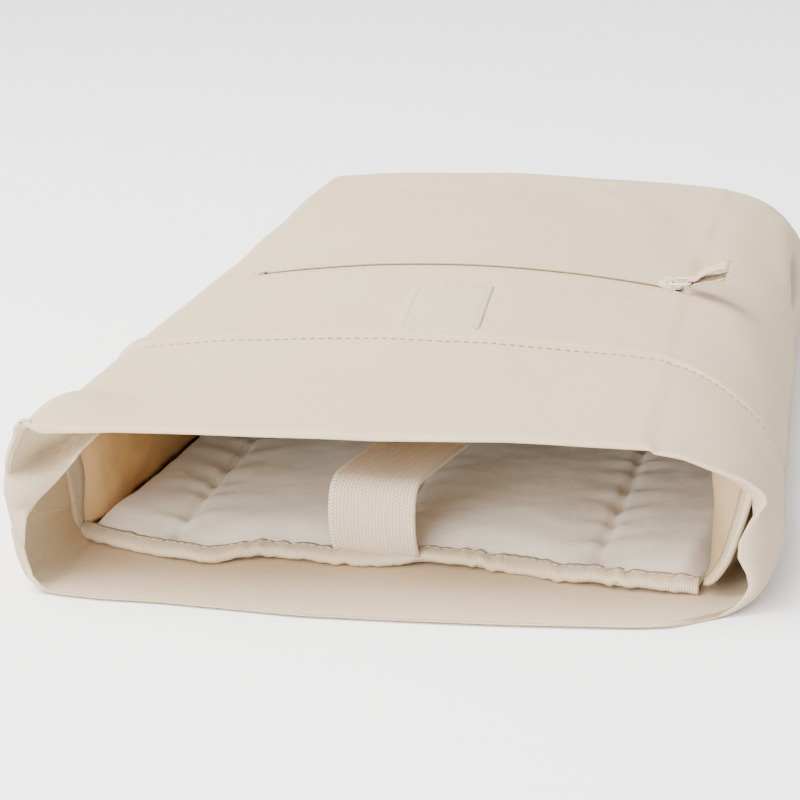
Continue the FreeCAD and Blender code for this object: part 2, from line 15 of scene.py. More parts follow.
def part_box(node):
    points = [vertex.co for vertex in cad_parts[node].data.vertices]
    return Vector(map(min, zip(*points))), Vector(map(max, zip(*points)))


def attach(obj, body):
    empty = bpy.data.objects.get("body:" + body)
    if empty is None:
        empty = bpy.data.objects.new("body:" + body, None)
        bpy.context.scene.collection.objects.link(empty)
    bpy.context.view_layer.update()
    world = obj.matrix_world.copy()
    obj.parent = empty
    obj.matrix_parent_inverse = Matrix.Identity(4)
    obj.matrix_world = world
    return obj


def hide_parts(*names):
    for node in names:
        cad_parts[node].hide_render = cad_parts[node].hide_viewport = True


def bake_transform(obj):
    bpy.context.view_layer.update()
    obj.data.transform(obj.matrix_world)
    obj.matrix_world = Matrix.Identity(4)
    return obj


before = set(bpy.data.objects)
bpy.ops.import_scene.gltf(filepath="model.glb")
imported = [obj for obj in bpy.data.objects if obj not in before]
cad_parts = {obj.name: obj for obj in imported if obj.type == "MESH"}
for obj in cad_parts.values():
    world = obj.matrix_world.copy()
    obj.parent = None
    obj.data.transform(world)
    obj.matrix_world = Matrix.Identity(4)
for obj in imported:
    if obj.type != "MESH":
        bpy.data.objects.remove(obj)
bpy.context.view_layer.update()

MM = 0.001


def box_mm(node):
    """A node's lowest and highest corner, in millimetres."""
    return [[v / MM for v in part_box(node)[end]] for end in (0, 1)]


# ---------------- sizes, from the frame
LIP_Y = box_mm("mouth_band_front")[0][1]  # the front lip of the mouth, where s is 0


def depth_mm(node, end):
    """How far a node's near (0) or far (1) side lies behind the front lip."""
    return box_mm(node)[end][1] - LIP_Y


END_S = depth_mm("base_panel", 1)
HEM_S = depth_mm("front_seam_lap", 0)
ZIP_LEFT, ZIP_RIGHT = (corner[0] for corner in box_mm("zip_coil_near"))
ZIP_S = (depth_mm("zip_coil_near", 1) + depth_mm("zip_coil_far", 0)) / 2
MOUTH_HALF = -box_mm("mouth_band_left")[0][0] - 0.4
TOP_Z = box_mm("front_panel")[1][2]

# the bag's slumped shape
TAPER = 30.0
LEFT_OUT = 5.0  # the closed end's left corner stands out a little
# how far the slack right side is drawn in, as (depth, how far)
RIGHT_IN = ((0, 0.6), (30, 1.0), (56, 1.8), (94, 1.5), (135, 3.2), (178, 2.5), (300, 2.0), (384, 1.5))
RIGHT_IN += ((430, 0.5), (468, -1.0))
# the crowned top: its height, the bend of its parabola and where its middle is
MOUTH_TOP, MOUTH_CURVE = 70.5, 0.00028
CROWN_CURVE, CROWN_X = 1 / (2 * 588.0), -32.5  # over the zip, which runs on an arc of 588 mm
FAR_TOP, FAR_CURVE, FAR_CROWN_X = 77.0, 0.00035, -70.0
CORNER = 8.0
LEFT_SHOULDER, RIGHT_SHOULDER = 9.0, 50.0
LEFT_WALL_TOP, RIGHT_WALL_TOP = 57.0, 24.0
END_ROUND, END_STEPS = 9.0, 8  # the turn into the closed end, and its steps
BAND_THICK = 2.4
CANVAS = 1.0
FLOOR_GAP = 0.02  # the canvas stays this far above the floor


def read_line(line, x):
    """The value at x of a line given as (x, value) pairs."""
    return float(np.interp(x, *zip(*line)))


def smooth(t):
    """Goes softly from 0 to 1 while t does."""
    t = min(max(t, 0.0), 1.0)
    return t * t * (3 - 2 * t)


def crown(s):
    """The top's height, curve and middle at a depth."""
    over_zip = np.array((TOP_Z, CROWN_CURVE, CROWN_X))
    if s < ZIP_S:
        share = 1 - smooth(s / ZIP_S) ** 1.6  # the band hangs a little slack between the lip and the zip
        other = MOUTH_TOP, MOUTH_CURVE, CROWN_X
    else:
        share = ((s - ZIP_S) / (END_S - ZIP_S)) ** 2
        other = FAR_TOP, FAR_CURVE, FAR_CROWN_X
    return over_zip + (other - over_zip) * share


def end_inset(s):
    """How far the skin is drawn in where it rounds into the closed end."""
    over = s - (END_S - END_ROUND)
    if over <= 0:
        return 0.0
    return END_ROUND - math.sqrt(max(END_ROUND**2 - over**2, 0.0))


def half_width(s, side=-1):
    """From the middle to the bag's left (side -1) or right (side 1) side, at a depth."""
    across = MOUTH_HALF - TAPER * max(s, 0.0) / END_S - end_inset(s)
    return across - read_line(RIGHT_IN, s) if side > 0 else across + LEFT_OUT * smooth(s / END_S)


def top_edges(s):
    """Where the top ends at a depth, on the left and on the right."""
    return -(half_width(s) - LEFT_SHOULDER), half_width(s, 1) - right_shoulder(s)


def bell(away, wide):
    """A soft bump: 1 at its middle, dying away to both sides."""
    return math.exp(-((away / wide) ** 2))


def right_shoulder(s):
    """How wide the right top corner is: softest near the mouth."""
    return RIGHT_SHOULDER - 11.0 * smooth((s - 220.0) / 240.0)


def right_wall_top(s):
    """Height at which the right wall turns into its shoulder."""
    return RIGHT_WALL_TOP + 7.0 * smooth((s - 200.0) / 240.0)


def top(x, s):
    """Height of the bag's top."""
    height, curve, middle = crown(s)
    return height - end_inset(s) - curve * (x - middle) ** 2


def place(x, s, z):
    """A point in metres, from millimetres and a depth behind the lip."""
    return Vector((x * MM, (s + LIP_Y) * MM, z * MM))


# ---------------- mesh helpers
def mesh(name, points, faces, loop_uvs=None, thick=0.0, offset=-1.0):
    """An object from points in metres. loop_uvs gives one (u, v) in metres for each corner of each face."""
    data = bpy.data.meshes.new(name)
    data.from_pydata([tuple(p) for p in points], [], faces)
    if loop_uvs is not None:
        layer = data.uv_layers.new(name="UVMap")
        layer.data.foreach_set("uv", np.array(loop_uvs, np.float32).ravel())
    data.polygons.foreach_set("use_smooth", [True] * len(data.polygons))
    data.update()
    obj = bpy.data.objects.new(name, data)
    bpy.context.scene.collection.objects.link(obj)
    if thick:
        solid = obj.modifiers.new("thickness", "SOLIDIFY")
        solid.thickness = thick * MM
        solid.offset = offset
        solid.use_even_offset = False
    return obj


def grid(name, rows, us, vs, closed=False, skip=None, cap=None, flip=False, **more):
    """A sheet over rows of points. us and vs are the cloth's own coordinates, in millimetres.

    skip(i, j) leaves out a face, and cap, as (point, v), closes the last row.
    """
    wide = len(rows[0])
    faces, uvs = [], []
    for i in range(len(rows) - 1):
        for j in range(wide if closed else wide - 1):
            if skip and skip(i, j):
                continue
            k = (j + 1) % wide
            face = [i * wide + j, i * wide + k, (i + 1) * wide + k, (i + 1) * wide + j]
            corners = [(i, j), (i, j + 1), (i + 1, j + 1), (i + 1, j)]
            if flip:
                face, corners = face[::-1], corners[::-1]
            faces.append(face)
            for r, c in corners:
                u = us[r][c] if hasattr(us[0], "__len__") else us[c]
                v = vs[r][c % wide] if hasattr(vs[r], "__len__") else vs[r]
                uvs.append((u * MM, v * MM))
    points = [p for row in rows for p in row]
    if cap:
        tip, tip_v = cap
        first = len(points) - wide
        points.append(tip)
        for j in range(wide):
            u, u_after = us[-1][j : j + 2]
            face = [first + j, first + (j + 1) % wide, len(points) - 1]
            spots = [(u * MM, vs[-1] * MM), (u_after * MM, vs[-1] * MM), ((u + u_after) / 2 * MM, tip_v * MM)]
            faces.append(face[::-1] if flip else face)
            uvs += spots[::-1] if flip else spots
    return mesh(name, points, faces, uvs, **more)


RIM_TURN = 0.006


def pillow(name, xs, ss, shape):
    """A closed pad over a grid of shares: shape(u, v) gives its (x, s, bottom z, top z)."""
    upper, lower = [], []
    for s in ss:
        placed = [shape(x, s) for x in xs]
        upper.append([place(px, ps, high) for px, ps, low, high in placed])
        lower.append([place(px, ps, low) for px, ps, low, high in placed])
    wide, deep = len(xs), len(ss)
    points = [p for row in upper + lower for p in row]
    faces, uvs = [], []
    for i in range(deep - 1):
        for j in range(wide - 1):
            a, b = i * wide + j, (i + 1) * wide + j
            spots = [(xs[c] * MM, ss[r] * MM) for r, c in ((i, j), (i, j + 1), (i + 1, j + 1), (i + 1, j))]
            faces.append((a, a + 1, b + 1, b))
            uvs += spots
            under = wide * deep
            faces.append((under + a, under + b, under + b + 1, under + a + 1))
            uvs += [spots[0], spots[3], spots[2], spots[1]]
    # the rim, once round, with a turn of cloth between the two sides
    rim = [(0, j) for j in range(wide)] + [(i, wide - 1) for i in range(1, deep)]
    rim += [(deep - 1, j) for j in range(wide - 2, -1, -1)] + [(i, 0) for i in range(deep - 2, 0, -1)]
    for n, (i, j) in enumerate(rim):
        r, c = rim[(n + 1) % len(rim)]
        a, b, under = i * wide + j, r * wide + c, wide * deep
        faces.append((b, a, under + a, under + b))
        spot, after = (xs[j] * MM, ss[i] * MM), (xs[c] * MM, ss[r] * MM)
        uvs += [after, spot, (spot[0], spot[1] - RIM_TURN), (after[0], after[1] - RIM_TURN)]
    return mesh(name, points, faces, uvs)


def spaced(start, stop, step):
    """Evenly spaced numbers from start to stop, about a step apart."""
    count = max(1, round(abs(stop - start) / step))
    return [start + (stop - start) * i / count for i in range(count + 1)]


def wave(x, y, scale, seed):
    """Smooth noise between about -1 and 1, the same each run. Each use has a seed of its own."""
    return noise.noise(Vector((x / scale, y / scale, seed)))


def near_line(x, y, ax, ay, bx, by):
    """How far a point is from the line between two others, and its share along it."""
    dx, dy = bx - ax, by - ay
    share = ((x - ax) * dx + (y - ay) * dy) / (dx * dx + dy * dy)
    held = min(max(share, 0.0), 1.0)
    return math.hypot(x - ax - held * dx, y - ay - held * dy), held


def unit(vectors):
    """Vectors brought to a length of 1."""
    return vectors / np.maximum(np.linalg.norm(vectors, axis=-1, keepdims=True), 1e-9)


def lengths_along(points):
    """How far each point of a line is from its start."""
    lengths = [0.0]
    for a, b in zip(points, points[1:]):
        lengths.append(lengths[-1] + math.dist(a, b))
    return lengths


def sheet_rows(us, vs, spot):
    """A sheet's rows of points, each from spot(u, v)."""
    return [[spot(u, v) for u in us] for v in vs]


def ring_round(centre, across, other, radius, sides=6):
    """Points in metres on a circle, given in millimetres."""
    turns = [2 * math.pi * k / sides for k in range(sides)]
    return [place(*(centre + (across * math.cos(a) + other * math.sin(a)) * radius)) for a in turns]


def add_tube(points, faces, rings):
    """Adds a closed tube through rings of points to a mesh that is being made."""
    first, sides = len(points), len(rings[0])
    points += [point for ring in rings for point in ring]
    for r in range(len(rings) - 1):
        for k in range(sides):
            m = (k + 1) % sides
            a, b = first + r * sides, first + (r + 1) * sides
            faces.append((a + k, a + m, b + m, b + k))
    faces.append(tuple(first + k for k in reversed(range(sides))))
    faces.append(tuple(len(points) - sides + k for k in range(sides)))


def scale_uvs(obj, across, along):
    """Turns a pad's shares across and along it into lengths of cloth, in metres."""
    for loop in obj.data.uv_layers["UVMap"].data:
        loop.uv = (loop.uv[0] / MM * across, loop.uv[1] / MM * along)


def finish_piece(obj, material, body, slot, *nodes):
    """Gives a piece its material and body, and hides the CAD nodes that it stands for. The slot is not used.
    """
    if material:
        obj.data.materials.append(material)
    if body:
        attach(obj, body)
    if nodes:
        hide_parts(*nodes)
    return obj


# ---------------- materials
class Recipe:
    """A material's nodes, made one at a time."""

    def __init__(self, name):
        self.material = bpy.data.materials.new(name)
        self.material.use_nodes = True
        self.tree = self.material.node_tree
        self.shader = self.tree.nodes["Principled BSDF"]
        self.uv = self.add("ShaderNodeUVMap").outputs[0]
        self.uv.node.uv_map = "UVMap"
        self.object = self.add("ShaderNodeTexCoord").outputs["Object"]

    def feed(self, socket, value):
        if isinstance(value, bpy.types.NodeSocket):
            self.tree.links.new(value, socket)
        else:
            socket.default_value = value

    def add(self, kind, values=None, **settings):
        """A node, with its settings and the values of its sockets, which may be other nodes' sockets."""
        made = self.tree.nodes.new(kind)
        for key, value in settings.items():
            setattr(made, key, value)
        for key, value in (values or {}).items():
            self.feed(made.inputs[key], value)
        return made

    def math(self, operation, a, b=None):
        values = {0: a} if b is None else {0: a, 1: b}
        return self.add("ShaderNodeMath", values, operation=operation).outputs[0]

    def times(self, a, b):
        return self.math("MULTIPLY", a, b)

    def plus(self, a, b):
        return self.math("ADD", a, b)

    def ribs(self, value, scale):
        """Rounded ribs: the size of a sine wave."""
        return self.math("ABSOLUTE", self.math("SINE", self.times(value, scale)))

    def noise(self, vector, scale, detail=3.0, rough=0.55):
        values = {"Vector": vector, "Scale": scale, "Detail": detail, "Roughness": rough}
        return self.add("ShaderNodeTexNoise", values).outputs[0]

    def split(self, vector):
        return self.add("ShaderNodeSeparateXYZ", {0: vector}).outputs

    def stretched(self, vector, x, y, z=1.0):
        return self.add("ShaderNodeMapping", {"Vector": vector, "Scale": (x, y, z)}).outputs[0]

    def ramp(self, value, low, high):
        return self.add("ShaderNodeMapRange", {"Value": value, "From Min": low, "From Max": high}).outputs[0]

    def mix(self, factor, a, b, blend="MIX"):
        a, b = ((*value, 1.0) if isinstance(value, tuple) else value for value in (a, b))
        values = {0: factor, 6: a, 7: b}
        return self.add("ShaderNodeMix", values, data_type="RGBA", blend_type=blend).outputs[2]

    def shade(self, value, low, high, a, b):
        """Goes from one colour to another while a value goes from low to high."""
        return self.mix(self.ramp(value, low, high), a, b)

    def finish(self, color, height, depth_mm, rough=0.85, strength=0.6, sheen=0.0):
        """Sets the shader's colour, bumps and gloss, and gives the material."""
        bump = self.add("ShaderNodeBump", {"Strength": strength, "Distance": depth_mm * MM, "Height": height})
        values = {"Base Color": color, "Normal": bump.outputs[0], "Roughness": rough, "Sheen Weight": sheen}
        values |= {"Sheen Roughness": 0.5, "Specular IOR Level": 0.25}
        for key, value in values.items():
            self.feed(self.shader.inputs[key], value)
        return self.material


def plain_weave(r, wide_mm, long_mm):
    """Height of a plain weave, threads bulging where they cross over."""
    wobble = r.noise(r.uv, 260.0, 2.0)
    shift = r.times(r.math("SUBTRACT", wobble, 0.5), 2.0)
    u, v, _ = r.split(r.uv)
    across = r.plus(r.times(u, math.pi / (wide_mm * MM)), shift)
    along = r.plus(r.times(v, math.pi / (long_mm * MM)), shift)
    crossing = r.times(r.math("COSINE", across), r.math("COSINE", along))
    return r.math("POWER", r.math("ABSOLUTE", crossing), 0.6)


def slubs(r):
    """Thick and thin threads, both ways of the cloth."""
    across = r.noise(r.stretched(r.uv, 1400.0, 60.0), 1.0, 2.0)
    along = r.noise(r.stretched(r.uv, 60.0, 1400.0), 1.0, 2.0)
    return r.times(r.plus(across, along), 0.5)


def canvas(name, colors, tints, thread_mm=(1.15, 1.3), inside=None):
    """Cotton cloth: plain weave, slubs, faint warm and cool clouds and a few seed specks.

    colors are its light and dark one, tints the warm and the cool one. Given an inside colour, the cloth
    takes painted shade with depth into the bag, darker and warmer, standing in for the light that only comes
    through the canvas.
    """
    r = Recipe(name)
    light, dark = colors
    weave, slub = plain_weave(r, *thread_mm), slubs(r)
    color = r.shade(weave, 0.0, 0.9, dark, light)
    color = r.shade(slub, 0.35, 0.65, color, r.mix(0.5, color, light))
    clouds = r.noise(r.object, 16.0, 3.0, 0.5)
    color = r.mix(0.6, color, r.shade(clouds, 0.38, 0.62, *tints), "MULTIPLY")
    color = r.shade(r.noise(r.uv, 420.0, 1.0), 0.765, 0.80, color, (0.30, 0.20, 0.12))
    # painted shade: with inside, the colour is multiplied darker and warmer with depth into the bag
    if inside:
        deep = r.ramp(r.split(r.object)[1], (LIP_Y + 6.0) * MM, (LIP_Y + 110.0) * MM)
        color = r.mix(deep, color, r.mix(1.0, color, inside, "MULTIPLY"))
    fine = r.noise(r.uv, 5200.0, 2.0)
    height = r.plus(r.plus(r.times(weave, 0.75), r.times(slub, 0.5)), r.times(fine, 0.25))
    return r.finish(color, height, 0.22, rough=0.92, strength=0.7, sheen=0.04)


def webbing_material():
    """Herringbone webbing: columns of short slanting floats that lean one way, then the other."""
    r = Recipe("herringbone_webbing")
    u, v, _ = r.split(r.uv)
    column = r.times(u, 1 / (1.55 * MM))
    phase = r.plus(r.times(v, 1 / (1.5 * MM)), r.math("PINGPONG", column, 1.0))
    floats, column_edge = r.ribs(phase, math.pi), r.ribs(r.math("FRACT", column), math.pi)
    height = r.times(r.math("POWER", floats, 0.6), r.math("POWER", column_edge, 0.45))
    fibres = r.noise(r.stretched(r.uv, 5200.0, 900.0), 1.0, 2.0)
    color = r.shade(height, 0.05, 0.75, (0.39, 0.28, 0.17), (0.70, 0.60, 0.465))
    clouds = r.noise(r.object, 60.0, 2.0)
    color = r.shade(clouds, 0.3, 0.7, r.mix(0.12, color, (0.70, 0.56, 0.38)), color)
    return r.finish(color, r.plus(height, r.times(fibres, 0.2)), 0.45, rough=0.8, strength=0.9, sheen=0.1)


def ribbed_tape():
    """Grosgrain: fine ribs across the tape."""
    r = Recipe("grosgrain_tape")
    u, v, _ = r.split(r.uv)
    ribs, cross = r.ribs(u, math.pi / (1.05 * MM)), r.ribs(v, math.pi / (0.45 * MM))
    fibres = r.noise(r.uv, 3000.0, 2.0)
    height = r.plus(r.plus(r.times(ribs, 0.8), r.times(cross, 0.15)), r.times(fibres, 0.2))
    color = r.shade(ribs, 0.0, 0.8, (0.38, 0.29, 0.17), (0.59, 0.49, 0.34))
    # darker and browner in soft random blotches
    blotches = r.noise(r.object, 45.0, 3.0)
    color = r.shade(blotches, 0.35, 0.7, color, r.mix(0.35, color, (0.52, 0.39, 0.22)))
    return r.finish(color, height, 0.28, rough=0.75, strength=0.7, sheen=0.1)


def nylon():
    """Thin woven lining with small puckers and a faint sheen."""
    r = Recipe("nylon_lining")
    weave = plain_weave(r, 0.42, 0.42)
    puckers = r.noise(r.object, 75.0, 3.0, 0.6)
    color = r.shade(weave, 0.0, 1.0, (0.78, 0.705, 0.60), (0.85, 0.785, 0.68))
    clouds = r.noise(r.object, 22.0, 2.0)
    color = r.shade(clouds, 0.35, 0.65, color, r.mix(0.2, color, (0.77, 0.68, 0.56)))
    return r.finish(color, r.plus(r.times(weave, 0.10), puckers), 1.3, rough=0.55, strength=0.55, sheen=0.2)


def painted():
    """Cream enamel on cast metal, a little worn where it rubs."""
    r = Recipe("cream_enamel")
    speckle, worn = r.noise(r.object, 900.0, 3.0), r.noise(r.object, 320.0, 4.0)
    color = r.shade(speckle, 0.3, 0.7, (0.56, 0.50, 0.41), (0.63, 0.57, 0.48))
    color = r.shade(worn, 0.66, 0.74, color, (0.55, 0.51, 0.46))
    made = r.finish(color, speckle, 0.05, rough=r.plus(r.times(speckle, 0.2), 0.22), strength=0.3)
    r.shader.inputs["Coat Weight"].default_value = 0.3
    return made


def thread(name, color):
    """Twisted sewing thread."""
    r = Recipe(name)
    twist = r.noise(r.stretched(r.object, 1600.0, 1600.0, 1600.0), 1.0, 2.0)
    shade = r.shade(twist, 0.3, 0.7, tuple(c * 0.75 for c in color), color)
    return r.finish(shade, twist, 0.08, rough=0.7, strength=0.5, sheen=0.1)


def coil_plastic():
    r = Recipe("zip_coil_nylon")
    streak = r.noise(r.object, 700.0, 2.0)
    color = r.shade(streak, 0.3, 0.7, (0.60, 0.52, 0.40), (0.68, 0.61, 0.50))
    return r.finish(color, streak, 0.04, rough=0.35, strength=0.3)


def hook_loop(name, color):
    """Hook-and-loop tape: a short dense pile."""
    r = Recipe(name)
    pile = r.noise(r.uv, 1500.0, 4.0, 0.7)
    shade = r.shade(pile, 0.3, 0.7, tuple(c * 0.6 for c in color), color)
    return r.finish(shade, pile, 0.6, rough=0.95, strength=1.0)


# cloth colours as (light, dark), and tints as (warm, cool)
CREAM = (0.54, 0.430, 0.313), (0.39, 0.297, 0.197)
CREAM_TINTS = (1.0, 0.93, 0.86), (0.96, 0.97, 0.86)
# SHADY is a darker, browner copy of LINING: painted shade for the right side wall
LINING, SHADY = ((0.86, 0.67, 0.44), (0.70, 0.52, 0.32)), ((0.50, 0.375, 0.225), (0.40, 0.285, 0.165))
LINING_TINTS = (1.0, 0.94, 0.84), (0.97, 0.95, 0.82)
LABEL, LABEL_TINTS = ((0.545, 0.452, 0.34), (0.44, 0.35, 0.25)), ((1.0, 0.97, 0.86), (0.94, 1.0, 0.86))
POCKET, POCKET_TINTS = ((0.80, 0.76, 0.68), (0.66, 0.61, 0.53)), ((1.0, 0.97, 0.92), (0.97, 1.0, 0.93))
TAPE, TAPE_TINTS = ((0.54, 0.44, 0.30), (0.40, 0.31, 0.20)), ((1.0, 0.96, 0.88), (0.98, 0.99, 0.90))
# painted shade, multiplied in with depth inside the bag; the second, darker one is for the right wall
DEEP_PAINTED_SHADE, SHADY_DEEP_PAINTED_SHADE = (1.0, 0.80, 0.50), (0.60, 0.48, 0.32)
FINE = (0.5, 0.5)  # thread widths in millimetres

CANVAS_LOOK = canvas("natural_canvas", CREAM, CREAM_TINTS)
# the canvas's inner side and the sleeve linings take painted shade that deepens into the bag
INSIDE_PAINTED_SHADE_LOOK = canvas("canvas_inside_painted_shade", CREAM, CREAM_TINTS, inside=DEEP_PAINTED_SHADE)
LINING_LOOK = canvas("lining_cotton", LINING, LINING_TINTS, FINE, DEEP_PAINTED_SHADE)
SHADY_LOOK = canvas("lining_cotton_right", SHADY, LINING_TINTS, FINE, SHADY_DEEP_PAINTED_SHADE)
LABEL_LOOK = canvas("label_cotton", LABEL, LABEL_TINTS, FINE)
POCKET_LOOK = canvas("pocket_cotton", POCKET, POCKET_TINTS, FINE)
TAPE_LOOK = canvas("zip_tape_weave", TAPE, TAPE_TINTS, (0.5, 0.6))
WEBBING_LOOK = webbing_material()
BINDING_LOOK = ribbed_tape()
NYLON_LOOK = nylon()
ENAMEL_LOOK = painted()
# the thread is pale: its dark brown is painted shade of the stitch holes and grooves
PAINTED_SHADE_THREAD_LOOK = thread("canvas_thread_painted_shade", (0.30, 0.21, 0.115))
PALE_THREAD_LOOK = thread("pale_thread", (0.56, 0.48, 0.36))
COIL_LOOK = coil_plastic()
HOOK_LOOK = hook_loop("hook_tape", (0.76, 0.72, 0.64))


# ---------------- the canvas skin
SEAM_S = HEM_S + 8.0  # the row of stitches beside the hem's ridge
RIDGE_NEAR, RIDGE_FAR = SEAM_S + 1.5, SEAM_S + 11.5
RIDGE_HIGH = 2.0
SLOT_NEAR, SLOT_FAR = 4.2, 1.0  # the slot's edges from the zip's middle: the far one covers most of its tape
FOLD_DEEP = 62.0  # how far from the lip the left side starts to fold in
HEM_PULL = 22.0  # how far the hem curves towards the mouth on the right side
FOLD_CREASE = 24.0  # how deep its crease is
FOLD_TURN = 0.55  # the share of that where the fold turns back
FACING_END = 112.0  # how far in the turned-over band reaches
FACING_LOW = 1.1  # its lowest height
LIP_TURNS, LIP_ROUND, LIP_BULGE = 6, 5.0, 2.2  # the turn at the lip: steps, length of cloth and reach
END_RINGS = (0.985, 0.94, 0.86, 0.74, 0.6, 0.45, 0.3, 0.15)  # how the closed end's rings shrink to its middle
END_BULGE, END_V = 2.5, 110.0  # how far that end bulges, and its cloth from rim to middle
# the stretches of a section, with how many columns of the mesh each has
STRETCHES = (("under_right", 32), ("corner_right", 8), ("wall_right", 8), ("shoulder_right", 30))
STRETCHES += (("top", 104), ("shoulder_left", 26), ("wall_left", 34), ("corner_left", 10), ("under_left", 32))


def skin_columns():
    """Each column's stretch, and its share along that."""
    return [(name, i / count) for name, count in STRETCHES for i in range(count)]


def arc_top(side, s, angle):
    """A point on a top corner, from the wall at 90 degrees to the top at 0."""
    width = right_shoulder(s) if side > 0 else LEFT_SHOULDER
    foot = right_wall_top(s) if side > 0 else LEFT_WALL_TOP
    edge = half_width(s, side)
    fall = top(side * edge, s) - foot
    a = math.radians(angle)
    x = side * (edge - width + width * math.sin(a))
    return x, top(x, s) - fall * (1 - math.cos(a))


def corner_size(side, s):
    """Width and height of a bottom corner: large at the slack mouth, small further in."""
    slack = 1 - smooth(s / 140.0)
    if side > 0:
        return CORNER + 14.0 * slack, CORNER + 11.0 * slack
    return CORNER + 5.0 * slack, CORNER + 18.0 * slack


def section(stretch, t, s):
    """A point of the bag's skin at depth s, t of the way along one stretch of its section."""
    side = 1 if stretch.endswith("right") else -1
    edge, low = half_width(s, side), end_inset(s)
    across, high = corner_size(side, s)
    part, _, _ = stretch.partition("_")
    if part == "under":
        return side * (edge - across) * (t if side > 0 else 1 - t), low
    if part == "corner":
        a = math.radians(90 * (t if side > 0 else 1 - t))
        return side * (edge - across + across * math.sin(a)), low + high * (1 - math.cos(a))
    if stretch == "wall_right":
        return edge, low + high + (right_wall_top(s) - low - high) * t
    if stretch == "wall_left":
        return -edge, LEFT_WALL_TOP + (low + high - LEFT_WALL_TOP) * t
    if part == "shoulder":
        return arc_top(side, s, 90 * (1 - t if side > 0 else t))
    left, right = top_edges(s)
    x = right + (left - right) * t
    return x, top(x, s)


# how far the back lip stands out from the front one, as (x, reach)
BACK_LIP_LINE = ((-156, 0), (-144, 0), (-119, 5), (-93, 7), (-63, 12), (-33, 17), (8, 19), (48, 20))
BACK_LIP_LINE += ((102, 19), (114, 17), (124, 11), (134, -2), (141, -5), (156, -2))


def lip_reach(x, z):
    return read_line(BACK_LIP_LINE, x) * (1 - smooth((z - 1.0) / 26.0))


# Round the sides of the mouth, each line is a list of (spot, x, y, height). On the left, spots 0 to 1 are the
# top corner, 1 to 2 the wall and 2 to 3 the bottom corner; on the right they run the other way.
# The left side folds in under the front lip: FRONT_LINE is its foremost line and LEFT_LIP the lip itself.
LEFT_LIP = ((0, -146.3, 0.2, 70.2), (0.06, -147.8, 2, 70), (0.12, -147, 6, 69.4), (0.2, -142.5, 12, 68.4))
LEFT_LIP += ((0.3, -134, 19, 67.1), (0.43, -123, 27, 64.4))
LEFT_LIP += ((0.55, -126, 24, 61), (0.75, -130, 20, 57), (1, -133.5, 18, 52), (1.1, -137, 16, 47))
LEFT_LIP += ((1.2, -141.5, 12, 42), (1.32, -147, 6, 38), (1.4, -150, 2, 36), (1.5, -151.8, 0, 33))
LEFT_LIP += ((1.7, -153, 0, 28), (2, -153.5, 0, 21), (2.35, -153, 0, 14), (2.7, -151, 0, 7))
LEFT_LIP += ((3, -144, -1, 0.5),)
FRONT_LINE = ((0, -148, 6, 72.2), (0.1, -150.8, 6, 69.8), (0.3, -154.6, 6, 65.2), (0.6, -158.0, 6, 59))
FRONT_LINE += ((1, -160.4, 6, 51),)
FRONT_LINE += ((1.3, -160.8, 6, 42), (1.6, -160.0, 6, 35), (2, -158.2, 6, 26), (2.35, -156.6, 6, 15))
FRONT_LINE += ((2.7, -153.5, 6, 6.5), (3, -146.5, 5, 0.3))
# the crease of the fold, as (x, height)
FOLD_LINE = ((-162, 49.0), (-144, 50.5), (-136, 54.5), (-127, 62.5), (-118, 70.0))
FOLDED = ("shoulder_left", "wall_left", "corner_left")
FOLD_ROOF = 71.0  # height of the lip over the fold
FOLD_TUCK = (-157.0, 35.0, -148.0, 37.5)  # a short tuck below the crease, from (x, height) to (x, height)
FOLD_SWELL = 6.5  # how much the shoulder swells where it turns in
# the right side of the lip is only drawn in a little
RIGHT_LIP = ((0, 125.4, -9.4, 0.3), (0.35, 132.5, -5, 0.9), (0.6, 137.5, -2.5, 3), (0.8, 141.5, -1, 6.5))
RIGHT_LIP += ((1, 145.0, 0, 11.4), (1.5, 144.0, 0, 17), (2, 140.6, 0, 23), (2.1, 141.2, 0, 28.5))
RIGHT_LIP += ((2.2, 144.6, 0, 34.3), (2.3, 147.4, 0, 39.5), (2.42, 150.2, 0, 46.5), (2.52, 148.5, 0, 51.5))
RIGHT_LIP += ((2.62, 141.5, 0, 56.8), (2.75, 129.7, 0, 61.5), (2.88, 117.5, 0, 66.3), (3, 102.5, 0, 68.7))
# the front lip over the rest of the mouth, as (x, height)
FRONT_LIP = ((-160, 70.2), (-147, 70.2), (-136, 71.4), (-110, 72.4), (-74, 72.0), (-5, 70.6), (47, 71.0))
FRONT_LIP += ((101, 68.7), (106, 68.5))


def on_line(line, spot):
    spots, *axes = zip(*line)
    return Vector([float(np.interp(spot, spots, axis)) for axis in axes])


def drawn_lip(stretch, t):
    """Where a column's lip goes, its foremost point, and how far it belongs to the left side's fold."""
    if stretch in FOLDED:
        spot = FOLDED.index(stretch) + t
        return on_line(LEFT_LIP, spot), on_line(FRONT_LINE, spot), 1.0
    x = section(stretch, t, 0.0)[0]
    if stretch == "top":
        lip = Vector((x, 0.0, read_line(FRONT_LIP, x)))
        return lip, lip + Vector((0.0, 6.0, 1.0)), smooth((-105.0 - x) / 40.0)
    if stretch == "under_right":
        x -= 8.0 * smooth((t - 0.5) / 0.5)
        return Vector((x, -lip_reach(x, 0.0), 0.3 * t)), None, 0.0
    if stretch.endswith("right"):
        spot = ("corner_right", "wall_right", "shoulder_right").index(stretch) + t
        return on_line(RIGHT_LIP, spot), None, 0.0
    return None, None, 0.0


def drawn_path(wall, lip, share):
    """A column's way out to a lip that is drawn in."""
    front = Vector((wall.x, wall.y * 0.45, wall.z))
    inside = Vector((wall.x + 0.1 * (lip.x - wall.x), lip.y + 5.0, wall.z + 0.5 * (lip.z - wall.z)))
    a, b = (1 - share), share
    return wall * a**3 + front * (3 * a * a * b) + inside * (3 * a * b * b) + lip * b**3


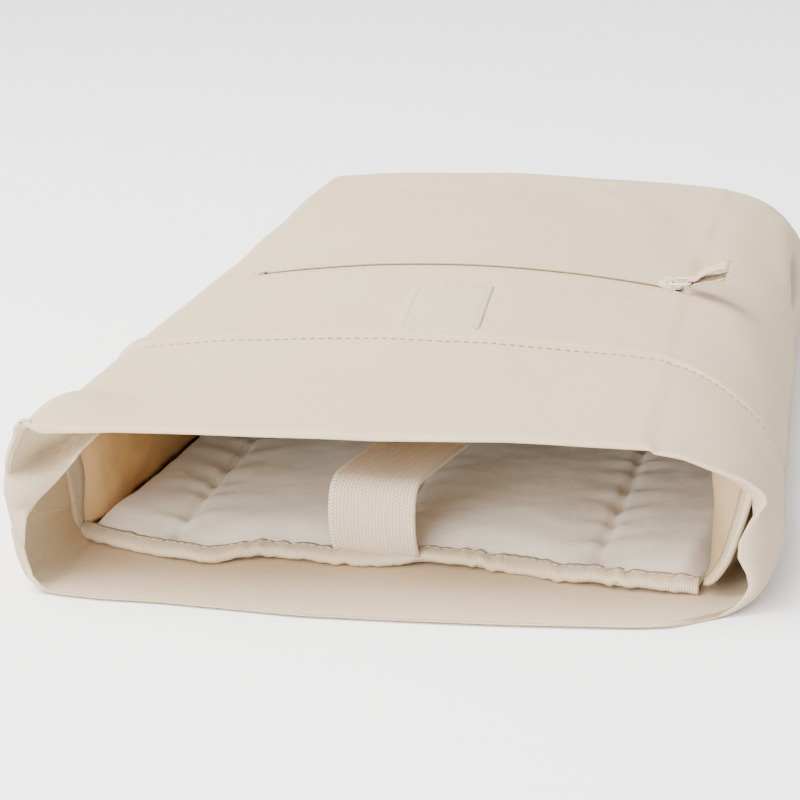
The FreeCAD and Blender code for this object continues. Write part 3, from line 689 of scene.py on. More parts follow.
def fold_path(wall, front, lip, share):
    """A column's way from the side wall round the soft front of the fold to its lip, share 0 to 1."""
    if share < FOLD_TURN:
        part = share / FOLD_TURN
        spot = wall.lerp(front, smooth(part))
        spot.y = wall.y + (front.y - wall.y) * part
        spot.z += FOLD_SWELL * math.sin(math.pi * part) * (1 - 0.6 * part) * smooth((wall.z - 54.0) / 10.0)
        return spot
    part = (share - FOLD_TURN) / (1 - FOLD_TURN)
    ahead = front + Vector((0.0, -4.0 - 5.0 * smooth(lip.y / 6.0), 0.0))
    return front * (1 - part) ** 2 + ahead * (2 * part * (1 - part)) + lip * part**2


# soft creases on the top: from (x, s) to (x, s), width, height
TOP_CREASES = (
    (-60.0, 436.0, 70.0, 428.0, 9.0, 1.3),
    (20.0, 420.0, 88.0, 330.0, 12.0, 1.1),
    (60.0, 400.0, 104.0, 268.0, 14.0, -1.6),
    (104.0, 262.0, 128.0, 176.0, 12.0, 1.4),
    (-100.0, 418.0, -40.0, 396.0, 10.0, -0.9),
    (112.0, 236.0, 60.0, 216.0, 10.0, -0.9),
)


SIDE_CREASE = (30.0, 322.0, 42.0, 425.0)  # on the right shoulder, from (height, s) to (height, s)
ZIP_CALM = 8.0  # the stiff tapes keep the cloth flat this far past the zip's ends


def skin_relief(stretch, x, s, z):
    """How far the skin stands out from its smooth shape: ridge, seams, slack cloth and creases."""
    out = 0.0
    if RIDGE_NEAR - 1.0 < s < RIDGE_FAR + 2.0:
        high = RIDGE_HIGH * (1 - 0.65 * smooth((x - 85.0) / 40.0))  # it flattens towards the right
        out += high * smooth((s - RIDGE_NEAR + 1.0) / 1.2) * (1 - smooth((s - RIDGE_FAR) / 1.6))
    out -= 0.7 * bell(s - SEAM_S, 1.2) + 0.8 * math.exp(-s / 4.0)  # the stitches sink in, and the lip is thin
    slack = 0.5 + 0.5 * smooth((s - 20.0) / 80.0)
    out += slack * (wave(x, s, 90.0, 1.7) + 0.5 * wave(x, s, 34.0, 5.1))
    out += 0.35 * wave(x, s * 2.5, 26.0, 9.3) * bell(s - SEAM_S, 22.0)  # puckers along the hem
    if stretch in ("top", "shoulder_right"):
        for *line, width, height in TOP_CREASES:
            away, share = near_line(x, s, *line)
            out += height * bell(away, width) * smooth(4 * share) * smooth(4 * (1 - share))
    if stretch.startswith(("wall", "shoulder")):
        out += wave(z * 1.5, s, 38.0, 3.3) * smooth(s / 60.0) - 0.8
    if stretch == "shoulder_right" and s > SEAM_S:
        away, share = near_line(z, s, *SIDE_CREASE)
        out -= 4.5 * bell(away, 4.0) * smooth(3 * share) * smooth(4 * (1 - share))
        out += 2.0 * bell(away - 9.0, 6.0) * smooth(3 * share)
    if stretch == "top" and ZIP_LEFT - ZIP_CALM < x < ZIP_RIGHT + ZIP_CALM:
        out *= 1 - 0.8 * bell(s - ZIP_S, 9.0)
    return out * smooth((z - 3.0) / 8.0)  # the underside stays flat


def skin_rows():
    """Depths of the mesh's rows: closer at the lip, the hem's ridge, the slot and the closed end."""
    ridge, flat = (HEM_S - 2.0, RIDGE_FAR + 4.0), (ZIP_S - 14.0, ZIP_S + 14.0)
    rows = [0.0, 1.2, 3.0, 5.0, 7.5, 10.0]
    rows += spaced(13.0, ridge[0], 3.0)[:-1] + spaced(*ridge, 0.9)[:-1] + spaced(ridge[1], flat[0], 3.2)[:-1]
    rows += spaced(flat[0], ZIP_S - SLOT_NEAR, 1.4) + spaced(ZIP_S + SLOT_FAR, flat[1], 1.4)
    rows += spaced(flat[1], END_S - END_ROUND, 3.2)[1:]
    rows += [END_S - END_ROUND * (1 - math.sin(math.pi / 2 * i / END_STEPS)) for i in range(1, END_STEPS)]
    return rows + [END_S - 0.05]


def hem_pull(stretch, t, s):
    """The cloth's rows run nearer the mouth round the right side, and the hem with them."""
    if stretch in ("top", "shoulder_right"):
        share = smooth((section(stretch, t, s)[0] - 90.0) / 55.0)
    else:
        share = smooth(t) if stretch == "under_right" else float(stretch.endswith("right"))
    return HEM_PULL * share * smooth(s / HEM_S) * (1 - smooth((s - SEAM_S) / 97.0))


def drawn_in(stretch, t, s, point):
    """Where a point of the skin lies once its column is drawn out to the lip."""
    lip, front, folded = drawn_lip(stretch, t)
    plain = turned = point
    deep = 90.0 if stretch == "top" else 50.0
    if lip and s < deep:
        x, z = section(stretch, t, deep)
        plain = drawn_path(Vector((x, deep, z)), lip, 1 - s / deep)
    if lip and front and s < FOLD_DEEP:
        x, z = section(stretch, t, FOLD_DEEP)
        turned = fold_path(Vector((x, FOLD_DEEP, z)), front, lip, 1 - s / FOLD_DEEP)
    return plain.lerp(turned, folded)


def skin_grid():
    """The outer surface as an array of points, rows by depth and columns round the bag, in millimetres."""
    rows, columns = skin_rows(), skin_columns()
    points = np.zeros((len(rows), len(columns), 3))
    for i, row in enumerate(rows):
        for j, (stretch, t) in enumerate(columns):
            s = row - hem_pull(stretch, t, row)
            x, z = section(stretch, t, s)
            y = s - lip_reach(x, z) * (1 - smooth(s / 60.0))
            points[i, j] = drawn_in(stretch, t, s, Vector((x, y, z)))
    return rows, columns, points


def soften(points, rows):
    """Evens out the cloth where it folds in, so that it turns softly."""
    ease = np.zeros(points.shape[:2])
    for i, s in enumerate(rows):
        x, z = points[i, :, 0], points[i, :, 2]
        side = np.clip((-118.0 - x) / 14.0, 0, 1) * np.clip((z - 26.0) / 8.0, 0, 1)
        ease[i] = side * max(0.0, 1 - s / 50.0)
    ease = np.minimum(ease * 2.0, 0.6)[:, :, None]
    for _ in range(3):
        rim = np.vstack([2 * points[:1] - points[1:2], points[:-1]])
        after = np.vstack([points[1:], points[-1:]])
        mean = (rim + after + np.roll(points, 1, axis=1) + np.roll(points, -1, axis=1)) / 4
        points = points + (mean - points) * ease
    return points


def grid_normals(points):
    """Outward normals of the skin's grid."""
    around = np.roll(points, -1, axis=1) - np.roll(points, 1, axis=1)
    return unit(np.cross(np.gradient(points, axis=0), around))


def fold_depth(point):
    """How far back the cloth of the fold lies: a deep crease with a soft roll below it."""
    x, y, z = point
    if x > -95.0 or y > 40.0:
        return 0.0
    crease_z = read_line(FOLD_LINE, x)
    above = z - crease_z
    room = max(FOLD_ROOF - crease_z, 5.0)
    crease = max(0.0, 1 - above / room) if above > 0.0 else bell(above, 1.8)
    fade = (1 - smooth((y - 8.0) / 36.0)) * (0.06 + 0.94 * smooth((x + 160.0) / 15.0))
    roll = bell(above + 8.0, 5.0)
    lower, share = near_line(x, z, *FOLD_TUCK)
    tuck = bell(lower, 1.4) * smooth(3 * share)
    return (FOLD_CREASE * crease - 3.0 * roll + 3.0 * tuck) * fade


def build_skin():
    rows, columns, points = skin_grid()
    points = soften(points, rows)
    normals = grid_normals(points)
    for i, s in enumerate(rows):
        for j, (stretch, _) in enumerate(columns):
            x, y, z = points[i, j]
            points[i, j] += normals[i, j] * skin_relief(stretch, x, s, z)
            if stretch in ("wall_left", "shoulder_left"):
                points[i, j, 1] += fold_depth((x, y, z))
    points[:, :, 2] = np.maximum(points[:, :, 2], FLOOR_GAP)
    normals = grid_normals(points)
    for _ in range(4):  # evened out at the lip
        normals[:4] = (normals[:4] + np.roll(normals[:4], 1, axis=1) + np.roll(normals[:4], -1, axis=1)) / 3
    return rows, columns, points, unit(normals)


SKIN_ROWS, SKIN_COLUMNS, SKIN, SKIN_NORMALS = build_skin()
FIRST_TOP = next(j for j, (name, _) in enumerate(SKIN_COLUMNS) if name == "top")


def skin_u():
    """The cloth's own coordinate across, along each row, counted from the middle of the top."""
    steps = np.linalg.norm(np.roll(SKIN, -1, axis=1) - SKIN, axis=2)
    lengths = np.hstack([np.zeros((len(SKIN), 1)), np.cumsum(steps, axis=1)])
    middle = FIRST_TOP + dict(STRETCHES)["top"] // 2
    return lengths - lengths[:, middle : middle + 1]


def skin_v():
    """The cloth's own coordinate along each column, counted from the hem."""
    steps = np.linalg.norm(np.diff(SKIN, axis=0), axis=2)
    lengths = np.vstack([np.zeros(SKIN.shape[1]), np.cumsum(steps, axis=0)])
    hem = int(np.argmin(np.abs(np.array(SKIN_ROWS) - HEM_S)))
    return HEM_S + lengths - lengths[hem]


def lip_thickness(s):
    """The two layers lie apart where they turn over at the lip."""
    return BAND_THICK - 0.4 * math.exp(-s / 5.0)


def lip_outwards():
    """The way the lip points, evened out round the mouth."""
    out = SKIN[0] - SKIN[2]
    for _ in range(8):
        out = unit(out)
        out = out + np.roll(out, 1, axis=0) + np.roll(out, -1, axis=0)
    return unit(out)


def shell_rows():
    """The sheet's rows as (points, u, v), from the facing's inner edge round the lip and along the outside to
    the closed end, and the number of the first row outside."""
    outside_u, outside_v = skin_u(), skin_v()
    rows = []
    for i in reversed([i for i, s in enumerate(SKIN_ROWS) if s <= FACING_END]):
        inner = SKIN[i] - SKIN_NORMALS[i] * lip_thickness(SKIN_ROWS[i])
        rows.append((inner, outside_u[i], 2 * outside_v[0] - outside_v[i] - LIP_ROUND))
    out, radius = lip_outwards(), lip_thickness(0.0) / 2
    centre = SKIN[0] - SKIN_NORMALS[0] * radius
    for k in range(LIP_TURNS - 1, 0, -1):
        a = math.pi * k / LIP_TURNS
        turned = centre + SKIN_NORMALS[0] * math.cos(a) * radius + out * math.sin(a) * LIP_BULGE
        rows.append((turned, outside_u[0], outside_v[0] - LIP_ROUND * k / LIP_TURNS))
    outside = len(rows)
    rows += zip(SKIN, outside_u, outside_v)
    middle = SKIN[-1].mean(axis=0)
    for shrink in END_RINGS:
        ring = middle + (SKIN[-1] - middle) * shrink
        ring[:, 1] += END_BULGE * (1 - shrink**2)
        rows.append((ring, outside_u[-1], END_S + END_V * (1 - shrink)))
    return rows, outside


def build_shell():
    """One folded sheet: the band's facing, the fold at the lip, the outside, and the closed end."""
    rows, outside = shell_rows()
    middle = ZIP_S + (SLOT_FAR - SLOT_NEAR) / 2
    bands = enumerate(zip(SKIN_ROWS, SKIN_ROWS[1:]))
    slot = [outside + i for i, (near, far) in bands if abs((near + far) / 2 - middle) < 0.5]

    def in_slot(i, j):
        return i in slot and ZIP_LEFT < SKIN[i - outside, j, 0] < ZIP_RIGHT and SKIN_COLUMNS[j][0] == "top"

    layers, us, vs = zip(*rows)
    for k, row in enumerate(layers):
        row[:, 2] = np.maximum(row[:, 2], FLOOR_GAP if k >= outside else FACING_LOW)
    placed = [[place(*p) for p in row] for row in layers]
    tip = place(*(SKIN[-1].mean(axis=0) + np.array([0.0, END_BULGE, 0.0])))
    shell = grid("canvas_shell", placed, us, vs, closed=True, skip=in_slot,
                 cap=(tip, END_S + END_V), flip=True, thick=CANVAS)
    # the facing and the canvas's inner side take the look with painted shade that deepens into the bag
    for look in (CANVAS_LOOK, INSIDE_PAINTED_SHADE_LOOK):
        shell.data.materials.append(look)
    wide = len(SKIN_COLUMNS)
    for polygon in shell.data.polygons:
        if max(polygon.vertices[0], polygon.vertices[2]) // wide < outside - 2:
            polygon.material_index = 1
    shell.modifiers["thickness"].material_offset = 1
    finish_piece(shell, None, None, "canvas", "front_panel", "back_panel", "left_gusset",
                 "right_gusset", "base_panel", "mouth_band_front", "mouth_band_back", "mouth_band_left",
                 "mouth_band_right", "front_seam_lap")
    return shell


def press(obj):
    """Bakes the piece's place into its mesh."""
    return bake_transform(obj)


def on_skin(x, s):
    """A point of the top's outer surface, and its normal, in millimetres."""
    i = min(max(int(np.searchsorted(SKIN_ROWS, s)) - 1, 0), len(SKIN_ROWS) - 2)
    along = (s - SKIN_ROWS[i]) / (SKIN_ROWS[i + 1] - SKIN_ROWS[i])
    count = dict(STRETCHES)["top"]
    left, right = top_edges(s)
    column = min(max((x - right) / (left - right) * count, 0.0), count - 1e-6)
    j, across = FIRST_TOP + int(column), column - int(column)
    after = (j + 1) % len(SKIN_COLUMNS)
    found = []
    for source in (SKIN, SKIN_NORMALS):
        near, far = (source[r, j] * (1 - across) + source[r, after] * across for r in (i, i + 1))
        found.append(near * (1 - along) + far * along)
    return found[0], unit(found[1])


# ---------------- stitches
def stitch_mesh(name, pairs, radius, look, body, slot_name, *nodes):
    """Short threads between pairs of (start, end, normal), each a little arched bar, joined in one piece."""
    points, faces = [], []
    for start, end, normal in pairs:
        start, end, normal = Vector(start), Vector(end), Vector(normal).normalized()
        side = normal.cross((end - start).normalized()).normalized()
        rings = []
        for t in (0.0, 0.25, 0.5, 0.75, 1.0):
            swell = math.sin(math.pi * (0.12 + 0.76 * t)) ** 0.5
            centre = start.lerp(end, t) + normal * radius * (1.1 * math.sin(math.pi * t) - 0.35)
            rings.append(ring_round(centre, side, normal, radius * swell))
        add_tube(points, faces, rings)
    obj = mesh(name, points, faces)
    obj.data.uv_layers.new(name="UVMap")
    return finish_piece(obj, look, body, slot_name, *nodes)


def along_line(spots, long, gap, lift=0.0):
    """Stitches of one length and gap along a line of (point, normal)."""
    points, normals = (np.array(part, float) for part in zip(*spots))
    steps = lengths_along(points)

    def at_length(length):
        k = min(max(int(np.searchsorted(steps, length)) - 1, 0), len(points) - 2)
        share = (length - steps[k]) / max(steps[k + 1] - steps[k], 1e-9)
        normal = normals[k] * (1 - share) + normals[k + 1] * share
        return points[k] * (1 - share) + points[k + 1] * share + normal * lift, normal

    pairs, done = [], gap / 2
    while done + long < steps[-1]:
        start, normal = at_length(done)
        pairs.append((start, at_length(done + long)[0], normal))
        done += long + gap
    return pairs


def build_hem_stitches():
    """The row round the hem, from one bottom corner over the top to the other."""
    i = int(np.argmin(np.abs(np.array(SKIN_ROWS) - SEAM_S)))
    spots = [(point, normal) for point, normal in zip(SKIN[i], SKIN_NORMALS[i]) if point[2] > 2.0]
    stitch_mesh("hem_stitches", along_line(spots, 2.7, 1.3, 0.1), 0.38, PAINTED_SHADE_THREAD_LOOK, "bag", "canvas")


def build_zip_stitches():
    """Topstitching in a long box round the zip."""
    out = 3.6
    near, far = ZIP_S - SLOT_NEAR - out, ZIP_S + SLOT_FAR + out
    left, right = ZIP_LEFT - out, ZIP_RIGHT + out
    lines = [[on_skin(x, s) for x in spaced(left, right, 3.0)] for s in (near, far)]
    lines += [[on_skin(x, s) for s in spaced(near, far, 2.0)] for x in (left, right)]
    pairs = [pair for line in lines for pair in along_line(line, 2.6, 1.2, 0.05)]
    stitch_mesh("zip_topstitching", pairs, 0.28, PALE_THREAD_LOOK, "bag", "canvas")


# ---------------- the label
def build_label():
    """The blank label, sewn a little askew, with one end under the hem's ridge."""
    low, high = box_mm("label_patch")
    near, far = RIDGE_FAR - 3.0, high[1] - LIP_Y + 4.0
    left, right = low[0] + 1.5, high[0] - 1.5
    thick, edge = 0.25, 3.0

    def askew(x, s):
        return on_skin(x - 6.3 - 5.3 * (s - near) / (far - near) - (left + right) / 2, s)

    def spot(x, s):
        point, normal = askew(x, s)
        rim = min(x - left, right - x, far - s)
        turned = 0.15 * smooth(rim / 0.8) - 0.2 * bell(rim - edge, 0.7)
        lift = thick + 0.05 + turned + max(0.2 * wave(x, s, 14.0, 2.2), -0.1)
        return place(*(point + normal * lift * smooth((s - near) / 5.0 + 0.2)))

    us, vs = spaced(left, right, 1.6), spaced(near, far, 1.6)
    label = grid("label_cloth", sheet_rows(us, vs, spot), us, vs, thick=thick)
    finish_piece(label, LABEL_LOOK, "bag", "label_cloth", "label_patch")
    border = [(left + edge, near + 4.0), (left + edge, far - edge), (right - edge, far - edge),
              (right - edge, near + 4.0)]
    pairs = []
    for (x0, s0), (x1, s1) in zip(border, border[1:]):
        line = [askew(x0 + (x1 - x0) * t, s0 + (s1 - s0) * t) for t in spaced(0.0, 1.0, 0.05)]
        pairs += along_line(line, 2.2, 1.1, thick + 0.1)
    stitch_mesh("label_stitches", pairs, 0.2, PALE_THREAD_LOOK, "bag", "label_cloth")


# ---------------- the zip
def under_skin(x, s, drop):
    """A point below the smooth top surface."""
    point, normal = on_skin(x, s)
    return point - normal * drop


def build_zip_tapes():
    """Each tape has a cord-edged lip along the coil and lies under the slot's edge."""
    # (distance from the zip's middle, depth below the canvas)
    profile = ((0.12, 2.1), (0.2, 1.6), (0.6, 1.38), (1.6, 1.3), (3.0, 1.32), (4.4, 1.35), (8.0, 1.4))
    profile += ((13.0, 1.45),)
    xs = spaced(ZIP_LEFT - 7.0, ZIP_RIGHT + 7.0, 2.0)
    for name, side in (("near", -1), ("far", 1)):
        rows = [[place(*under_skin(x, ZIP_S + side * away, drop)) for x in xs] for away, drop in profile]
        tape = grid(f"tape_{name}", rows, xs, [side * away for away, _ in profile], flip=side < 0, thick=0.5)
        finish_piece(tape, TAPE_LOOK, "bag", "zip_tape", f"zip_tape_{name}")


def build_coils():
    """Closed nylon coils: a loop for each turn, leaning in to meet the other side's loops."""
    pitch, radius, across = 1.5, 0.42, Vector((1, 0, 0))
    # (distance from the zip's middle, depth below the canvas)
    loop = ((0.2, 2.9), (-0.2, 3.3), (0.5, 3.75), (1.4, 3.85), (2.1, 3.75), (2.45, 3.3), (2.4, 2.7))
    for name, side in (("near", -1), ("far", 1)):
        points, faces = [], []
        x = ZIP_LEFT + 2.2 + (pitch / 2 if side > 0 else 0.0)
        while x < ZIP_RIGHT - 1.8:
            surface, normal = on_skin(x, ZIP_S + side * SLOT_NEAR)
            centres = []
            for away, drop in loop:
                base = Vector((x + 0.18 * (away - 1.3), ZIP_S + side * away, surface[2]))
                centres.append(base - Vector(normal) * drop)
            rings = []
            for k, centre in enumerate(centres):
                along = (centres[min(k + 1, len(centres) - 1)] - centres[max(k - 1, 0)]).normalized()
                rings.append(ring_round(centre, across, along.cross(across).normalized(), radius))
            add_tube(points, faces, rings)
            x += pitch
        coil = mesh(f"coil_{name}", points, faces)
        coil.data.uv_layers.new(name="UVMap")
        finish_piece(coil, COIL_LOOK, "bag", "zip_coil", f"zip_coil_{name}")


def build_tacks():
    """A bar of close stitches across each end of the zip."""
    pairs = []
    for x in (ZIP_LEFT + 0.6, ZIP_RIGHT - 0.6):
        for k in range(-3, 4):
            start, normal = on_skin(x + k * 0.42, ZIP_S - SLOT_NEAR - 0.9)
            end, _ = on_skin(x + k * 0.42, ZIP_S + SLOT_FAR + 0.9)
            pairs.append((start, end, normal))
    stitch_mesh("zip_bar_tacks", pairs, 0.3, PAINTED_SHADE_THREAD_LOOK, "bag", "zip_coil", "zip_end_tacks")


EYE_X, EYE_Z = 91.96, 69.13  # the bar of the pull ring, round which the tab folds


def build_tab():
    """A folded canvas tab: two layers from an eye round the ring's bar, a little apart at the end."""
    low, high = box_mm("zip_pull_tab")
    eye = Vector((EYE_X, 0.0, EYE_Z))
    middle = (low[1] + high[1]) / 2
    tilt = math.atan2(high[2] - 1.0 - EYE_Z, high[0] - EYE_X)
    along = Vector((math.cos(tilt), 0.0, math.sin(tilt)))
    up = Vector((-math.sin(tilt), 0.0, math.cos(tilt)))
    long = (high[0] - EYE_X) / math.cos(tilt) - 3.0
    eye_out, half_eye, half_tab = 2.4, 4.6, 7.4
    path = []  # (way out from the eye, height): the upper layer, round the bar, and the lower layer
    for t in spaced(0.0, 1.0, 1 / 8):
        height = 0.75 + 1.4 * (1 - t) ** 2 + 2.2 * math.sin(math.pi * t)
        path.append((long + (eye_out - long) * t, height))
    for angle in range(90, 300, 30):
        a = math.radians(angle)
        path.append((1.45 * math.cos(a), 1.45 * math.sin(a)))
    for t in spaced(0.0, 1.0, 1 / 8):
        path.append((eye_out + (long - 3.0 - eye_out) * t, -0.75 - 1.5 * t * t))

    def spot(share, step):
        out, height = step
        half = half_eye + (half_tab - half_eye) * smooth((out - 2.2) / 1.8)
        y = half * share
        bow = 0.8 * (1 - share**2) * smooth(out / long) + 0.9 * wave(out, y, 6.0, 4.4) * smooth(out / 5.0)
        point = eye + along * out + up * (height + bow)
        return Vector((point.x * MM, (middle + y) * MM, point.z * MM))

    rows = sheet_rows(spaced(-1.0, 1.0, 1 / 6), path, spot)
    lengths = lengths_along(path)
    tab = grid("pull_tab", rows, spaced(-half_tab, half_tab, 13 / 12), lengths, thick=0.8, offset=0.0)
    finish_piece(tab, CANVAS_LOOK, "zip_tab", "canvas", "zip_pull_tab")

    def stitch_spot(out, y):
        return eye + along * out + up * 1.9 + Vector((0, middle - LIP_Y + y, 0)), up

    side = half_tab - 1.6
    lines = [[stitch_spot(out, y) for out in spaced(5.0, long - 2.5, 2.0)] for y in (-side, side)]
    lines.append([stitch_spot(5.0, y) for y in spaced(-side, side, 2.0)])
    pairs = [pair for line in lines for pair in along_line(line, 2.0, 1.0, -0.1)]
    stitch_mesh("tab_stitches", pairs, 0.2, PALE_THREAD_LOOK, "zip_tab", "canvas")


def build_pocket():
    """The empty pocket's two linings hang just under the front panel, the inner one with a sag."""
    for name, drop, sag in (("outer", 2.0, 0.0), ("inner", 4.9, 1.0)):
        node = f"pocket_bag_{name}"
        low, high = box_mm(node)
        near, far = depth_mm(node, 0), depth_mm(node, 1)

        def spot(x, s):
            rim = min(x - low[0], high[0] - x, s - near, far - s)
            hang = 3.0 * smooth(rim / 60.0) + 0.8 * smooth(rim / 15.0) * wave(x, s, 30.0, 6.1)
            return place(*(under_skin(x, s, drop) - np.array([0.0, 0.0, max(sag * hang, 0.0)])))

        xs, ss = spaced(low[0], high[0], 4.0), spaced(near, far, 4.0)
        sheet = grid(f"pocket_lining_{name}", sheet_rows(xs, ss, spot), xs, ss, thick=0.4)
        finish_piece(sheet, POCKET_LOOK, "bag", "pocket_lining", node)


# ---------------- the padded sleeve
PAD_LOW, PAD_HIGH = box_mm("pad_foam")[0][2] - 0.6, box_mm("pad_foam")[1][2] + 0.6
PAD_LEFT, PAD_END = box_mm("pad_foam")[0][0], depth_mm("pad_foam", 1)
EDGE_RIGHT = 14.0  # the near edge's depth at its right end
# the pad's slanting, scalloped near edge, as (x, depth)
EDGE_LINE = ((-152, 62), (-142, 56.4), (-131, 49.6), (-118.6, 44.3), (-105.7, 37.2), (-93, 31.5), (-84, 29.8))
EDGE_LINE += ((-75, 34.7), (-63, 39.3), (-52, 38.3), (-37, 34.7), (-20, 34.8), (1, 34.7), (13, 35))
EDGE_LINE += ((33, 31.9), (48.6, 30.5), (67.5, 20), (93, 14.8), (106, 13.4), (119, 12.2), (135, 11))
SLEEVE_GAP = 9.0  # between the bag's sides and the sleeve
BINDING_WIDE = 9.0
EDGE_LOW, EDGE_HIGH = 3.4, 7.4  # the pad's height at its bound edge
EDGE_FADE = 14.0  # how far back from the near edge its curl dies away
QUILT_LINES = (-103.0, -13.0, 78.0)


def sleeve_left(s):
    """Where the sleeve's left side is at a depth."""
    return SLEEVE_GAP + LEFT_OUT * smooth(s / END_S) - half_width(min(s, END_S - END_ROUND))


def sleeve_right(s):
    """Where its right side is: it runs straighter than the bag's, and its near corner is drawn in."""
    drawn = 11.5 * (1 - smooth((s - 10.0) / 70.0)) + 14.0 * (1 - s / PAD_END)
    return half_width(min(s, END_S - END_ROUND), 1) - SLEEVE_GAP - drawn


def pad_edge(x):
    """Depth of the pad's near edge, with a small ripple."""
    straight = sum(read_line(EDGE_LINE, x + d) for d in (-4.0, 0.0, 4.0)) / 3
    ripple = 0.9 * math.sin(x / 9.0) * (0.6 + 0.4 * wave(x, 0, 40.0, 7.7))
    return straight + ripple + 1.2 * wave(x, 3.0, 14.0, 2.9)


def quilted(x, s):
    """How far the quilted lining stands up: it swells between the quilting lines and puckers beside them."""
    away = min(abs(x - q) for q in QUILT_LINES)
    swell = 2.4 * (1 - bell(away, 16.0)) - 2.8 * bell(away, 2.2)
    puckers = 0.9 * bell(away, 12.0) * math.sin(s / 3.4 + 3 * wave(x, s, 22.0, 8.8))
    return swell + puckers + 0.9 * wave(x, s, 26.0, 0.7) + 0.5 * wave(x, s, 11.0, 4.2)


def edge_lift(x):
    """The near edge of the pad curls up and down."""
    cusps = 1.6 * abs(math.sin(x / 21.0 + 0.6)) ** 0.7 - 0.9
    return 0.8 * math.sin(x / 13.0 + 1.0) + 1.2 * wave(x, 9.0, 12.0, 3.9) + cusps


def edge_top(back):
    """Height of the pad's top, a distance in from its bound edge, where it thins."""
    return EDGE_HIGH + (PAD_HIGH - EDGE_HIGH) * smooth(back / 30.0)


def build_pad():
    """The quilted pad on the bag's back. It is shaped by shares: u across it and v along it."""
    us = spaced(0.0, 1.0, 1 / 150)
    vs = [0.0, 0.004, 0.009, 0.016, 0.024, 0.034, *spaced(0.046, 0.96, 0.0085), 0.97, 0.98, 0.99, 1.0]

    def shape(u, v):
        near = pad_edge(PAD_LEFT - 3.0 + (sleeve_right(EDGE_RIGHT) - PAD_LEFT + 3.0) * u) + 2.0
        s = near + (PAD_END - 1.0 - near) * v
        left, right = sleeve_left(s) + 0.5 - 5.5 * (1 - smooth((s - 60.0) / 45.0)), sleeve_right(s) - 0.5
        x = left + (right - left) * u
        rim = min(min(u, 1 - u) * (right - left), (1 - v) * 300.0, 5.0 + v * 380.0)
        full = smooth(0.25 + 0.75 * min(rim / 9.0, 1.0))
        back = s - near
        lift = edge_lift(x) * math.exp(-back / EDGE_FADE)
        raised = quilted(x, s) * smooth(back / 24.0 + 0.1)
        high = PAD_LOW + (edge_top(back) - 0.6 + raised - PAD_LOW) * full + lift
        low = EDGE_LOW + (PAD_LOW + 0.1 - EDGE_LOW) * smooth(back / 22.0)
        return x, s, low + max(lift, 0.0) * 0.6, max(high, low + 1.2)

    pad = pillow("pad_cover", us, vs, shape)
    scale_uvs(pad, 0.27, 0.40)
    finish_piece(pad, NYLON_LOOK, "bag", "nylon_lining", "pad_foam", "pad_lining_upper", "pad_lining_lower")


def build_pad_binding():
    """Ribbed tape folded over the pad's near edge, gathered so that it ripples."""
    upper = ((BINDING_WIDE, 0.45), (7.0, 0.6), (4.5, 0.5), (2.2, 0.15))  # (way back, height)
    profile = upper + ((0.8, -0.6), (0.1, -1.7), (0.3, -2.9), (1.3, -3.8), (4.0, -4.2), (7.5, -4.4))
    xs = spaced(PAD_LEFT - 5.0, sleeve_right(EDGE_RIGHT) + 0.5, 1.2)

    def spot(x, step):
        back, height = step
        gathered = max(wave(x, 1.0, 14.0, 6.6) + 0.25, 0.0)
        gather = 0.8 * math.sin(x / 1.5 + 3 * wave(x, back, 9.0, 1.1)) * gathered
        gather += 0.5 * wave(x, back * 0.5, 3.5, 1.9)
        level = edge_top(back) if step in upper else EDGE_HIGH
        z = level + height + edge_lift(x) * math.exp(-back / EDGE_FADE) + gather
        s = pad_edge(x) + back - 1.0 + 0.5 * gather + 0.4 * wave(x, back, 6.0, 2.0)
        return place(x, s, max(z, PAD_LOW + 0.2))

    vs = lengths_along(profile)
    rows = sheet_rows(xs[::-1], profile, spot)
    binding = grid("pad_edge_binding", rows, [-x for x in xs[::-1]], vs, thick=0.8)
    finish_piece(binding, BINDING_LOOK, "bag", "binding_tape", "pad_binding")
    spots = [((x, pad_edge(x) + 5.2, edge_top(6.2) + 0.8 + edge_lift(x) * 0.65), (0, 0, 1.0)) for x in xs]
    pairs = along_line(spots, 2.4, 1.4)
    stitch_mesh("binding_stitches", pairs, 0.25, PALE_THREAD_LOOK, "bag", "binding_tape")


DIVIDER_LOW, DIVIDER_HIGH = (corner[2] for corner in box_mm("divider_binding"))
DIVIDER_S = depth_mm("divider_binding", 0)


def divider_sway(x, s):
    return 0.9 * wave(x, s, 60.0, 2.5)


